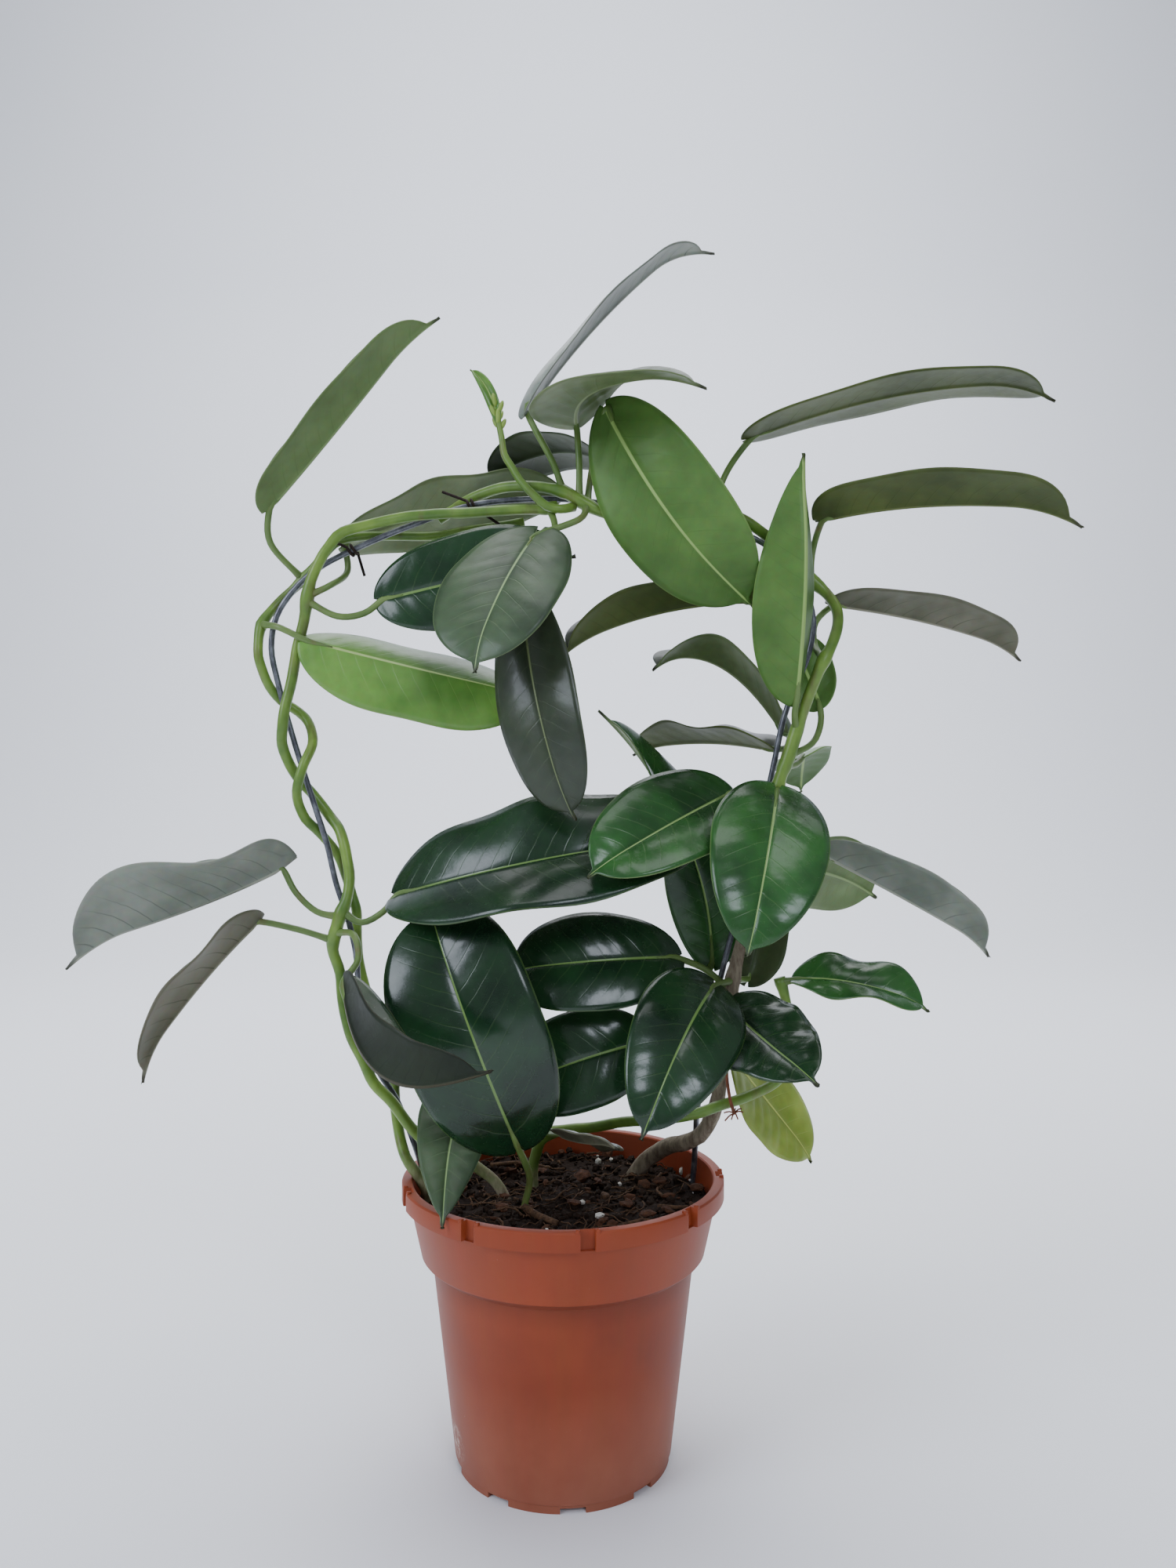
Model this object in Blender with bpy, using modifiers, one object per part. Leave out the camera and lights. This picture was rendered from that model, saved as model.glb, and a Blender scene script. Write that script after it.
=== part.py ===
"""A potted stephanotis trained round a wire hoop: nursery pot, soil, wire, twining stems and leaves.

The plant stands on the pot's foot at the origin, Z up, its front towards -Y. Sizes and points in the
tables are millimetres and degrees, measured from the middle of the pot's foot; the meshes are in metres.
"""

import math
from dataclasses import dataclass

import bmesh
import bpy
from mathutils import Matrix, Vector

MM = 0.001
GAP = 0.3  # clearance between pieces that touch

# Pot: a 12 cm nursery pot
POT_HEIGHT = 104.5
LIP_RADIUS = 60.4
LIP_DROP = 6.5  # height of the lip's band
LIP_OVERHANG = 1.2  # how far the band stands out from the collar
COLLAR_BOTTOM = 73.0
COLLAR_TOP_RADIUS = LIP_RADIUS - LIP_OVERHANG
COLLAR_BOTTOM_RADIUS = 56.4
WALL_TOP_RADIUS = 52.8
FOOT_RADIUS = 40.0
FOOT_WIDTH = 3.2
FLOOR_HEIGHT = 3.0
WALL = 1.5
POT_STEPS = 45
NOTCHES = 9
NOTCH_WIDTH = 5.2
NOTCH_START = -90.0 + 9.0  # direction of the notch nearest the front
SLOT_WIDTH = 9.0
SLOT_HEIGHT = 2.0
SLOT_START = -90.0 + 6.0
DRAIN_RADIUS = 3.2
DRAIN_CIRCLE = 27.0

# Soil
SOIL_HEIGHT = 95.0
SOIL_BUMP = 1.3
SOIL_STEPS = 40
SOIL_RINGS = (12.0, 24.0, 36.0, 47.0)

# Stems and wire
WIRE_RADIUS = 1.15
STEM_RADIUS = 2.1
TRUNK_RADIUS = 3.6
PATH_STEP = 7.8
TIE_RADIUS = 0.55
TIE_PITCH = 1.7
TIE_SIDES = 12
NODE_SWELLING = 0.28
NODE_LENGTH = 3.5

# Leaves
BLADE_THICKNESS = 0.8
BLADE_ROWS = 8
BLADE_COLUMNS = 4
BLADE_END = 0.95  # where the rounded blade ends and only its pointed spur goes on
SPUR_START = 0.88
SPUR_SHARE = 0.13
TAPER_POWER = 1.6
STALK_RADIUS = 1.25
STALK_SINK = 0.11  # share of the midrib along which the stalk runs on inside the blade
STALK_POINTS = 6
STALK_FOOT = 0.15  # how much thicker the stalk is where it leaves its stem
STALK_END = 0.25  # share of its radius that is left inside the blade


@dataclass(frozen=True)
class Stem:
    """A wire or stem: its route's points, and its radius at the start and at the end."""

    name: str
    points: tuple
    radius: float = STEM_RADIUS
    end_radius: float = STEM_RADIUS
    thick_length: float = 0.0  # length over which the radius falls from the start's to the end's
    material: str = "stem_green"


@dataclass(frozen=True)
class Leaf:
    """One leaf with its stalk. Its upper face looks along facing, which may differ at base and tip."""

    name: str
    stem: str
    root: tuple
    base: tuple
    middle: tuple
    tip: tuple
    facing: tuple
    width: float
    tip_facing: tuple = ()
    via: tuple = ()
    fold: float = 8.0
    curl: float = -14.0
    wave: float = 0.6
    waves: float = 2.0
    phase: float = 0.0
    hook: float = 2.0
    lobe: float = 3.4
    square: float = 2.5  # how blunt the outline is: 2 is an ellipse, more is squarer
    taper: float = 0.0  # how much narrower the blade gets towards its tip


HOOP = Stem(
    "hoop_wire",
    (
        (-42, 8, 62), (-46.5, 8, 78), (-51, 7, 95), (-54.4, 4.5, 106), (-57.6, 1, 118), (-63, 0, 132),
        (-70, 0, 143), (-75.6, 0, 157), (-77.5, 0, 174), (-78.6, 0, 188), (-82, 0, 202), (-86, 0, 214),
        (-89.5, 0, 229),
        (-94, 0, 243), (-99.5, 0, 260), (-104, 0, 275), (-108, 0, 290), (-110.5, 0, 303), (-108.5, 0, 315),
        (-102, 0, 325), (-93, 0, 333), (-80, 0, 340), (-60, 0, 348.5), (-35, 0, 357), (-11, 0, 359.4),
        (10, 0, 358.4), (40, 0, 353.5), (66, 0, 347), (80, 0, 339.5), (90, 0, 328), (94.5, 0, 314),
        (92.5, 0, 300), (87, 0, 287), (83, 0, 275), (80, 0, 261), (74.5, 0, 236), (67, 0, 207),
        (59.5, 0.5, 178), (54.5, 3, 150), (51.5, 9, 126), (51.3, 14, 113), (50.3, 17.5, 95),
        (46, 16, 78), (41, 15, 62),
    ),
    WIRE_RADIUS,
    WIRE_RADIUS,
    material="wire_coating",
)

STEM_LEFT_OUTER = Stem(
    "stem_left_outer",
    (
        (-44, -10, 66), (-49.5, -7.5, 95), (-53.6, -5, 104), (-59.2, -2.4, 111), (-62.2, 1.6, 118),
        (-64.2, 4.5, 127), (-64.8, 5.8, 134), (-64.8, 5, 141), (-65.2, 3, 149), (-69.5, 3, 157),
        (-74.2, 4.8, 168), (-77.6, 5.2, 180), (-79, 5.3, 189), (-79.2, 5.2, 197), (-79.2, 4.7, 203),
        (-80.9, 5, 209), (-83.6, 5.6, 217), (-86.4, 6.1, 224), (-90.8, 5.7, 230), (-94.6, 3.4, 234.6),
        (-97.6, 0, 238.4), (-99.7, -2.6, 244.4), (-99.7, -4.8, 249), (-98.6, -5.7, 253.4),
        (-97, -5.2, 259), (-94.6, -1.6, 266.4), (-96, 2.4, 272.4), (-99, 5.2, 277), (-103.6, 5.4, 280.6),
        (-107.8, 3.8, 283.4), (-111.4, 0.6, 288.6), (-114, -1.4, 296), (-115, -2, 302), (-114.5, 1, 312),
        (-109.5, 5, 320.5), (-103, 6, 327), (-95.6, 5, 334.4), (-90.8, 4.2, 340), (-85.2, 2.6, 344.2),
        (-76.4, 4, 346.2), (-65, 5.4, 346.6), (-50, 4.6, 346.4), (-36, 3.6, 348.4), (-24, 3.4, 350),
        (-15, 3.2, 351.6),
    ),
    end_radius=1.7,
)

STEM_LEFT_INNER = Stem(
    "stem_left_inner",
    (
        (-15, -2, 68), (-22.6, 2, 95), (-32.4, 2, 105.6), (-44, 0, 112.6), (-53, -2.2, 118.4),
        (-57.8, -4.6, 124), (-64, -6, 133), (-70.6, -6.3, 140), (-75, -5.6, 149), (-79.2, -4.6, 156.6),
        (-83, -1.6, 168.4), (-84.5, 0, 180), (-87, -1, 189), (-85.4, -4, 196), (-83.4, -6, 202),
        (-81, -5.2, 208.4), (-80.2, -3.4, 216), (-81.4, -2.2, 223.4), (-82.9, -1, 229.4),
        (-85.2, 1.2, 234.6), (-88.8, 4.2, 238.6), (-93, 5.2, 244), (-97.2, 5.2, 249), (-100.6, 4.2, 252.8),
        (-103.6, 0, 259), (-105.8, -2.4, 266.4), (-105, -5.2, 272.4), (-104.2, -5.4, 279),
        (-103.2, -4.6, 284), (-101.8, -4, 290.4), (-99.8, -4, 302), (-97, -4.6, 313), (-95.8, -5.6, 320),
        (-94, -6.4, 327.4), (-91, -6.2, 334.6), (-87.4, -5.4, 340.6), (-82.6, -4.2, 346), (-71, -2.6, 349.6),
        (-59, -4.6, 351.6), (-46, -5.4, 352.6), (-35, -4.6, 353.2), (-17.5, -4.2, 354.4),
        (-7, -4.6, 354.6), (-2, -4.6, 355.4),
    ),
    end_radius=2.0,
)

STEM_RIGHT = Stem(
    "stem_right",
    (
        (17, 22, 66), (27.5, 24, 95), (38.3, 18, 107.7), (46.5, 8.5, 113.4), (52, 4, 117.4),
        (55.6, 1, 124), (58.4, -1.6, 134), (59.6, -3, 152), (62.6, -4.6, 174), (66.6, -5.2, 192),
        (73.4, -5.4, 215.8), (78.7, -5, 238), (80.4, -5.4, 251), (84.2, -5.4, 262), (88, -5, 273.7),
        (91.6, -8, 285), (95.4, -10, 295.2), (99.6, -8, 302.8), (102.8, -4, 310.4), (103.6, 0, 317),
        (101.6, 3.4, 322.6), (98, 5.4, 327), (94.4, 6, 330.4), (87, 5.4, 338.4), (76, 2.6, 347),
        (66, 0.6, 352.8), (54, -3, 355), (42, -5.2, 353.6), (29, -4.6, 352), (16, -5, 353),
        (6, -5.4, 357.6), (0, -5, 361), (-11.5, -3.2, 363.4), (-23.3, 0.6, 363.8), (-35, 4.6, 360.8),
        (-42, 5.6, 356.6), (-48, 5.2, 352.8),
    ),
    TRUNK_RADIUS,
    STEM_RADIUS,
    thick_length=175.0,
)

STEM_LOW = Stem(
    "stem_low",
    (
        (-8, 14, 64), (-12, 11, 95), (-11, 9, 108), (-5.7, 6, 117.6), (12.3, 1, 121.6), (22.4, -3, 124.6),
        (36, -7, 126.6), (48, -9, 129), (58, -10, 132.6), (69.8, -7.4, 135.8), (81, -3, 140.6),
        (86, 0, 150.6), (85.6, 1, 162), (84, 1.5, 171), (82, 2, 178),
    ),
    STEM_RADIUS,
    1.9,
)

SHOOT_TIP = Stem(
    "shoot_tip",
    (
        (4, -6, 355), (-1, -9.6, 353.4), (-6, -9.4, 354.6), (-11.6, -8.6, 359.6), (-16, -7.4, 364.6),
        (-19, -6.4, 369.6), (-22, -5.4, 374.8), (-23, -4.6, 381), (-24, -4, 386), (-25, -3.4, 392),
    ),
    1.8,
    1.1,
)

DRIED_STALK = Stem(
    "dried_stalk",
    (
        (60, -4, 152), (60.6, -9, 147.4), (60.6, -12.4, 141.6), (61.6, -14, 135), (63, -14, 130.6),
    ),
    0.6,
    0.6,
    material="dry_stalk",
)

YOUNG_LEAF = Leaf(
    "young_leaf", "shoot_tip", (-23, -4.6, 381), (-24.1, -3.9, 386.5), (-28.2, -3.4, 399),
    (-35, -3, 407.5), (-0.3, -0.6, 0.7), 5.5, fold=30, wave=0, hook=0, lobe=0,
)


@dataclass(frozen=True)
class Tie:
    """A thin cord wound round the wire beside a place, with two free ends."""

    name: str
    place: tuple
    turns: float
    ends: tuple


TIES = (
    Tie("tie_left", (-80, 0, 340), 1.6, ((-88, -1.5, 343.5), (-76, 4, 331))),
    Tie("tie_top", (-35, 0, 357), 1.4, ((-46, 1.5, 362.5), (-24, -1, 349.5))),
)

STEMS = (HOOP, STEM_LEFT_OUTER, STEM_LEFT_INNER, STEM_RIGHT, STEM_LOW)

LEAVES = (
    # Crown, left to right
    Leaf("leaf_crown_far_left", "stem_left_outer", (-99, 4, 329), (-109, -8, 354), (-79.5, -13, 386.5),
         (-48, -18, 424), (-0.71, -0.34, 0.61), 34, via=((-110, -3, 342),), fold=46, curl=-10, hook=4, square=4,
         taper=0.1),
    Leaf("leaf_crown_left_back", "stem_left_inner", (-95, -6, 322), (-85, 13, 345), (-43, 30, 363),
         (4, 38, 371), (-0.1, 0.5, 0.85), 36, via=((-87, -5, 326), (-83, 6, 333)), wave=1.6, waves=2.5),
    Leaf("leaf_crown_top", "stem_right", (0, -5, 361), (-13.5, -4, 391), (17, 2, 431),
         (53, 6, 463.5), (-0.65, -0.27, 0.71), 33, via=((-4, -6, 372),), fold=17, curl=-6, hook=9, square=3),
    Leaf("leaf_crown_middle", "stem_right", (6, -5, 358), (5, -5, 386), (14, -32, 391),
         (50, -44, 391), (-0.3, 0.1, 0.95), 42, tip_facing=(-0.45, -0.3, 0.85), via=((6, -6, 372),),
         fold=16, hook=4),
    Leaf("leaf_crown_bright", "stem_right", (9, -5, 356), (16, -11, 390), (40.6, -22, 346),
         (70.4, -10, 318.4), (0.25, 0.85, 0.45), 46, via=((11, 1, 372),), taper=0.1),
    Leaf("leaf_crown_dark_back", "stem_right", (24, -5, 352), (17, 10, 376), (-6, 28, 385),
         (-34, 40, 377), (0, 0.3, 0.95), 32, via=((23.5, -2, 360.5), (22, 6, 366))),
    Leaf("leaf_crown_right_upper", "stem_right", (56, -2, 355), (71, -5, 381.5), (125, -22, 392.5),
         (173, -36, 390), (-0.05, 0, 1), 38, via=((62, -1, 370),), fold=5, curl=-4, hook=5, lobe=4.5,
         square=4.5),
    Leaf("leaf_crown_right_lower", "stem_right", (95, 6, 330), (96.5, -8, 349.5), (135, -27, 351),
         (179, -44, 344.5), (0, 0.05, 1), 38, via=((95, 3, 341),), fold=28, curl=-10, hook=5,
         square=4.5),
    Leaf("leaf_right_drooping", "stem_right", (97, -9, 298), (104, 8, 320.5), (144, 12, 314),
         (179.5, 15, 303), (0.2, 0, 1), 32, via=((96, 5, 305), (97, 8, 314)), fold=34, curl=-10, hook=3,
         square=3.2),
    # Leaves round the upper left node
    Leaf("leaf_left_inner_dark", "stem_left_inner", (-95, -6, 320), (-67, -8, 320), (-31, -12, 328),
         (5, -8, 337), (0, -1, 0.1), 36, via=((-84, -8, 314), (-74, -8, 315))),
    Leaf("leaf_left_long_pale", "stem_left_outer", (-114, -1, 312), (-95, -7.6, 304.8), (-52, -8, 294),
         (-8, -5, 284), (0, -0.79, 0.61), 40, via=((-106, -7, 310),), fold=-26, curl=-4, square=3),
    Leaf("leaf_front_grey", "stem_right", (8, -5, 356), (-10, -17, 342), (-21, -36, 319),
         (-30, -52, 291), (-0.2, -0.75, 0.6), 46, via=((6, -12, 349),), hook=4, lobe=6),
    Leaf("leaf_centre_hanging", "stem_left_inner", (-5, -5, 355), (-14, -20, 319), (-8, -33, 278),
         (4, -34, 238), (-0.55, -0.8, 0.1), 34, via=((-3, -12, 345), (-8, -16, 332))),
    # Right side, upper half
    Leaf("leaf_right_upright", "stem_right", (87, -5, 271), (86.5, -10, 283), (87, -25, 330),
         (86, -18, 370), (-0.5, 0.85, 0.1), 44, via=((86, -8.5, 277),), fold=40, curl=0, taper=0.75),
    Leaf("leaf_right_small_back", "stem_right", (84, -5, 262), (98, 6, 283), (94, 12, 296),
         (88, 14, 311), (0.3, 0.8, 0.3), 22, via=((94, -1, 267), (98, 3, 275))),
    Leaf("leaf_inner_olive", "stem_right", (96, 6, 329), (74, 8, 322), (34, 15, 318),
         (-2, 10, 303), (-0.1, 0, 1), 36, fold=40, square=3),
    Leaf("leaf_inner_upper", "stem_right", (86, -5, 268), (85.7, 14, 271.4), (61, 22, 299),
         (33.5, 14, 298), (0.1, 0.1, 0.9), 34, via=((89, 1, 269), (88.5, 7, 270.5)), fold=28),
    Leaf("leaf_inner_middle", "stem_right", (84, -5, 264), (79, 8, 265), (54.5, 28, 268.5),
         (28, 45, 266), (-0.1, 0.1, 0.93), 36, via=((85.6, -0.5, 265.5), (83.6, 5, 265)), fold=28,
         wave=1.6),
    Leaf("leaf_back_hanging", "stem_right", (83, -5, 258), (92, 8, 262), (98, 40, 262),
         (102, 71, 250), (-0.2, 0.4, 0.9), 24, via=((88, 1, 259),)),
    # Right side, lower half
    Leaf("leaf_right_glossy", "stem_right", (80, -5, 251), (62, -7, 248), (36, -30, 236),
         (9, -46, 221), (0.1, -0.75, 0.65), 42, fold=18, taper=0.2),
    Leaf("leaf_right_front", "stem_right", (80, -5, 250), (78.5, -14, 248.5), (70, -43, 223.3),
         (62.5, -54, 194), (0.1, -0.8, 0.55), 47, fold=10, lobe=5.5, taper=0.45),
    Leaf("leaf_right_striped", "stem_right", (76, -5, 228), (86, 5, 219), (108, 30, 215),
         (129, 50, 205), (-0.55, 0.65, 0.5), 34),
    Leaf("leaf_right_trailing", "stem_right", (77, -5, 232), (98, -2, 225), (130, -11, 207.5),
         (156, -20, 192), (0.48, -0.05, 0.87), 34, fold=52, curl=-12, hook=3, square=3),
    Leaf("leaf_inner_upright", "stem_right", (62, -5, 172), (57, 7, 183), (47, 10, 231),
         (15, 2, 281), (-0.2, -0.95, 0.2), 34, tip_facing=(0.75, -0.1, 0.65),
         via=((56.5, -2.5, 175), (54.8, 2, 178.5)), fold=20),
    Leaf("leaf_behind_trunk", "stem_right", (63, -4, 178), (71, 6, 177), (76, 13, 193),
         (77, 21, 207), (0.5, 0.7, 0.3), 26),
    Leaf("leaf_right_wavy", "stem_low", (82, 2, 176), (89, -2, 178), (110, -10, 177.5),
         (135, -14, 170), (0.1, -0.5, 0.85), 27, fold=20, wave=2.4, waves=1.6),
    Leaf("leaf_right_dark", "stem_right", (62, -4, 172), (60.5, -10, 169.6), (72, -32, 161),
         (84, -59, 154.5), (-0.1, -0.75, 0.65), 39, wave=1.4, waves=3, taper=0.35),
    Leaf("leaf_front_large", "stem_right", (62, -4, 178), (55, -17, 178), (41, -42, 162.5),
         (27, -57, 134), (0.2, -0.8, 0.55), 43, taper=0.4),
    Leaf("leaf_right_yellow_green", "stem_right", (59, -3, 150), (65, 8, 146), (82.5, 22, 123),
         (100, 25, 101), (0.4, -0.7, 0.6), 38, taper=0.25),
    # Left side and front
    Leaf("leaf_far_left_twisted", "stem_left_inner", (-83, -6, 203), (-105.4, -4, 220), (-138, -12, 205.5),
         (-182, -17, 191.5), (-0.43, 0.17, 0.91), 44, via=((-92, -6, 204), (-100, -5, 211)), fold=46,
         curl=-10, wave=5, waves=1.15, phase=-3.3, hook=7, lobe=7, square=5),
    Leaf("leaf_lower_left_narrow", "stem_left_inner", (-87, -1, 193), (-114.2, -4, 200), (-132, -20, 178),
         (-151, -32, 149), (-0.81, -0.16, 0.57), 32, via=((-100, -3, 197),), fold=35, curl=-10,
         wave=1.2, hook=4),
    Leaf("leaf_front_horizontal", "stem_left_inner", (-82, -6, 204), (-62, -6, 210), (-5, -26, 225),
         (52, -8, 232), (0, -0.75, 0.66), 50, via=((-75, -7, 200), (-67, -7, 204)), fold=18, wave=1.8,
         waves=2.5, square=3),
    Leaf("leaf_front_upright", "soil", (-13, -14, 84), (-16, -26, 123), (-33, -35, 169),
         (-50, -14, 210), (-0.1, -0.95, 0.2), 52, via=((-14, -14, 96), (-12, -16, 108)), square=3),
    Leaf("leaf_front_brown", "stem_left_inner", (-85, -4, 196), (-78, -25, 181), (-57, -61, 156),
         (-22.7, -67, 161.5), (0.55, 0.27, 0.79), 34, via=((-77, -12, 196), (-74, -19, 188)), fold=60,
         curl=-10),
    Leaf("leaf_over_rim", "stem_left_inner", (-52, -2, 118), (-36, -5, 139), (-39.8, -26, 123.5),
         (-39.3, -50.5, 103.8), (0.2, -0.8, 0.55), 31, via=((-44, -6, 130),), taper=0.65),
    Leaf("leaf_centre_dark", "stem_right", (62.5, -5, 175), (41.5, -10, 187.5), (9, -20, 187.4),
         (-22, -14, 183), (0, -0.85, 0.5), 38, via=((53, -7, 182.5),)),
    Leaf("leaf_centre_low", "stem_right", (59.6, -3, 152), (30, -14, 157), (5, -19, 151),
         (-22, -14, 139), (-0.1, -0.95, 0.3), 36, via=((46, -9, 158),)),
    Leaf("leaf_low_pale", "stem_low", (-6, 6, 117.6), (-2, -6, 121), (8, -22, 123),
         (20, -36, 127), (0.1, 0.6, 0.8), 24),
)


def new_material(name, colour, roughness):
    """A plain Principled material of one colour."""
    made = bpy.data.materials.new(name)
    made.use_nodes = True
    shader = made.node_tree.nodes["Principled BSDF"]
    shader.inputs["Base Color"].default_value = (*colour, 1.0)
    shader.inputs["Roughness"].default_value = roughness
    shader.inputs["Metallic"].default_value = 0.0
    return made


def new_object(name, mesh, home):
    """An object of this mesh in this collection, shaded smooth."""
    made = bpy.data.objects.new(name, mesh)
    home.objects.link(made)
    mesh.shade_smooth()
    return made


def as_cutter(piece):
    """Marks a helper that isn't part of the plant."""
    piece.hide_render = True
    piece.display_type = "WIRE"
    return piece


def apply_modifiers(piece):
    """Replaces the object's mesh by the one its modifiers give."""
    graph = bpy.context.evaluated_depsgraph_get()
    done = bpy.data.meshes.new_from_object(piece.evaluated_get(graph))
    old = piece.data
    piece.modifiers.clear()
    piece.data = done
    done.name = piece.name
    bpy.data.meshes.remove(old)


def cut_or_join(piece, other, operation, solver="EXACT"):
    """Applies one Boolean with another object."""
    tool = piece.modifiers.new(operation.lower(), "BOOLEAN")
    tool.operation = operation
    tool.solver = solver
    tool.object = other
    apply_modifiers(piece)


def join_all(piece, others):
    """Joins a collection of solids to this one and removes them."""
    group = bpy.data.collections.new(piece.name + "_repeats")
    bpy.context.scene.collection.children.link(group)
    for other in others:
        group.objects.link(other)
    tool = piece.modifiers.new("union", "BOOLEAN")
    tool.operation = "UNION"
    tool.operand_type = "COLLECTION"
    tool.collection = group
    apply_modifiers(piece)
    for other in others:
        bpy.data.objects.remove(other)
    bpy.data.collections.remove(group)


def smooth_route(points, step):
    """Points about a step apart on a smooth curve through the route's own points."""
    knots = [Vector(point) for point in points]
    knots = [knots[0] * 2 - knots[1], *knots, knots[-1] * 2 - knots[-2]]
    route = []
    for before, start, end, after in zip(knots, knots[1:], knots[2:], knots[3:]):
        pieces = max(1, round((end - start).length / step))
        for index in range(pieces):
            t = index / pieces
            route.append(
                0.5
                * (
                    2 * start
                    + (end - before) * t
                    + (2 * before - 5 * start + 4 * end - after) * t * t
                    + (3 * start - before - 3 * end + after) * t**3
                )
            )
    route.append(knots[-2])
    return route


def route_lengths(route):
    """Length along the route up to each of its points."""
    lengths = [0.0]
    for start, end in zip(route, route[1:]):
        lengths.append(lengths[-1] + (end - start).length)
    return lengths


def tube(name, route, radii, home, detail=1):
    """A closed round tube along a route, from a bevelled curve made a welded mesh."""
    curve = bpy.data.curves.new(name, "CURVE")
    curve.dimensions = "3D"
    curve.bevel_depth = MM
    curve.bevel_resolution = detail
    curve.use_fill_caps = True
    spline = curve.splines.new("POLY")
    spline.points.add(len(route) - 1)
    for spot, place, radius in zip(spline.points, route, radii):
        spot.co = (*(place * MM), 1.0)
        spot.radius = radius
    guide = bpy.data.objects.new(name + "_curve", curve)
    home.objects.link(guide)
    graph = bpy.context.evaluated_depsgraph_get()
    mesh = bpy.data.meshes.new_from_object(guide.evaluated_get(graph))
    mesh.name = name
    weld(mesh)
    made = new_object(name, mesh, home)
    made.matrix_world = guide.matrix_world
    bpy.data.objects.remove(guide)
    bpy.data.curves.remove(curve)
    return made


def weld(mesh, within=1e-6):
    """Joins a curve's caps to its sides and turns all faces outward."""
    bm = bmesh.new()
    bm.from_mesh(mesh)
    bmesh.ops.remove_doubles(bm, verts=bm.verts, dist=within)
    bmesh.ops.recalc_face_normals(bm, faces=bm.faces)
    bm.to_mesh(mesh)
    bm.free()


def stem_radii(stem, route, knots):
    """Radius at each route point: thick at the foot, swollen a little where leaves grow."""
    lengths = route_lengths(route)
    fall = stem.thick_length or lengths[-1]
    radii = []
    for place, length in zip(route, lengths):
        share = min(1.0, length / fall)
        radius = stem.radius + (stem.end_radius - stem.radius) * share
        near = min(((place - knot).length for knot in knots), default=1e6)
        radii.append(radius * (1 + NODE_SWELLING * math.exp(-((near / NODE_LENGTH) ** 2))))
    return radii


def build_stem(stem, knots, home, extra=0.0, name=None):
    """A stem or wire, or with extra radius the clearance that others keep round it."""
    route = smooth_route(stem.points, PATH_STEP)
    radii = [radius + extra for radius in stem_radii(stem, route, knots)]
    return tube(name or stem.name, route, radii, home)


def turned(name, profile, steps, home):
    """A closed body turned round Z from an open profile whose two ends lie on the axis."""
    bm = bmesh.new()
    spots = [bm.verts.new((radius * MM, 0, height * MM)) for radius, height in profile]
    for start, end in zip(spots, spots[1:]):
        bm.edges.new((start, end))
    mesh = bpy.data.meshes.new(name)
    bm.to_mesh(mesh)
    bm.free()
    made = new_object(name, mesh, home)
    screw = made.modifiers.new("turn", "SCREW")
    screw.steps = steps
    screw.render_steps = steps
    screw.use_merge_vertices = True
    screw.merge_threshold = 1e-5
    apply_modifiers(made)
    made.data.shade_smooth()
    made.data.set_sharp_from_angle(angle=math.radians(35))
    return made


def box_at(name, size, place, angle, home):
    """A box of this size whose middle lies at this radius and height, turned round Z."""
    bm = bmesh.new()
    turn = Matrix.Rotation(math.radians(angle), 4, "Z")
    shape = Matrix.Diagonal((size[0] * MM, size[1] * MM, size[2] * MM, 1))
    move = Matrix.Translation((place[0] * MM, 0, place[1] * MM))
    bmesh.ops.create_cube(bm, size=1, matrix=turn @ move @ shape)
    mesh = bpy.data.meshes.new(name)
    bm.to_mesh(mesh)
    bm.free()
    return as_cutter(new_object(name, mesh, home))


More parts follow.
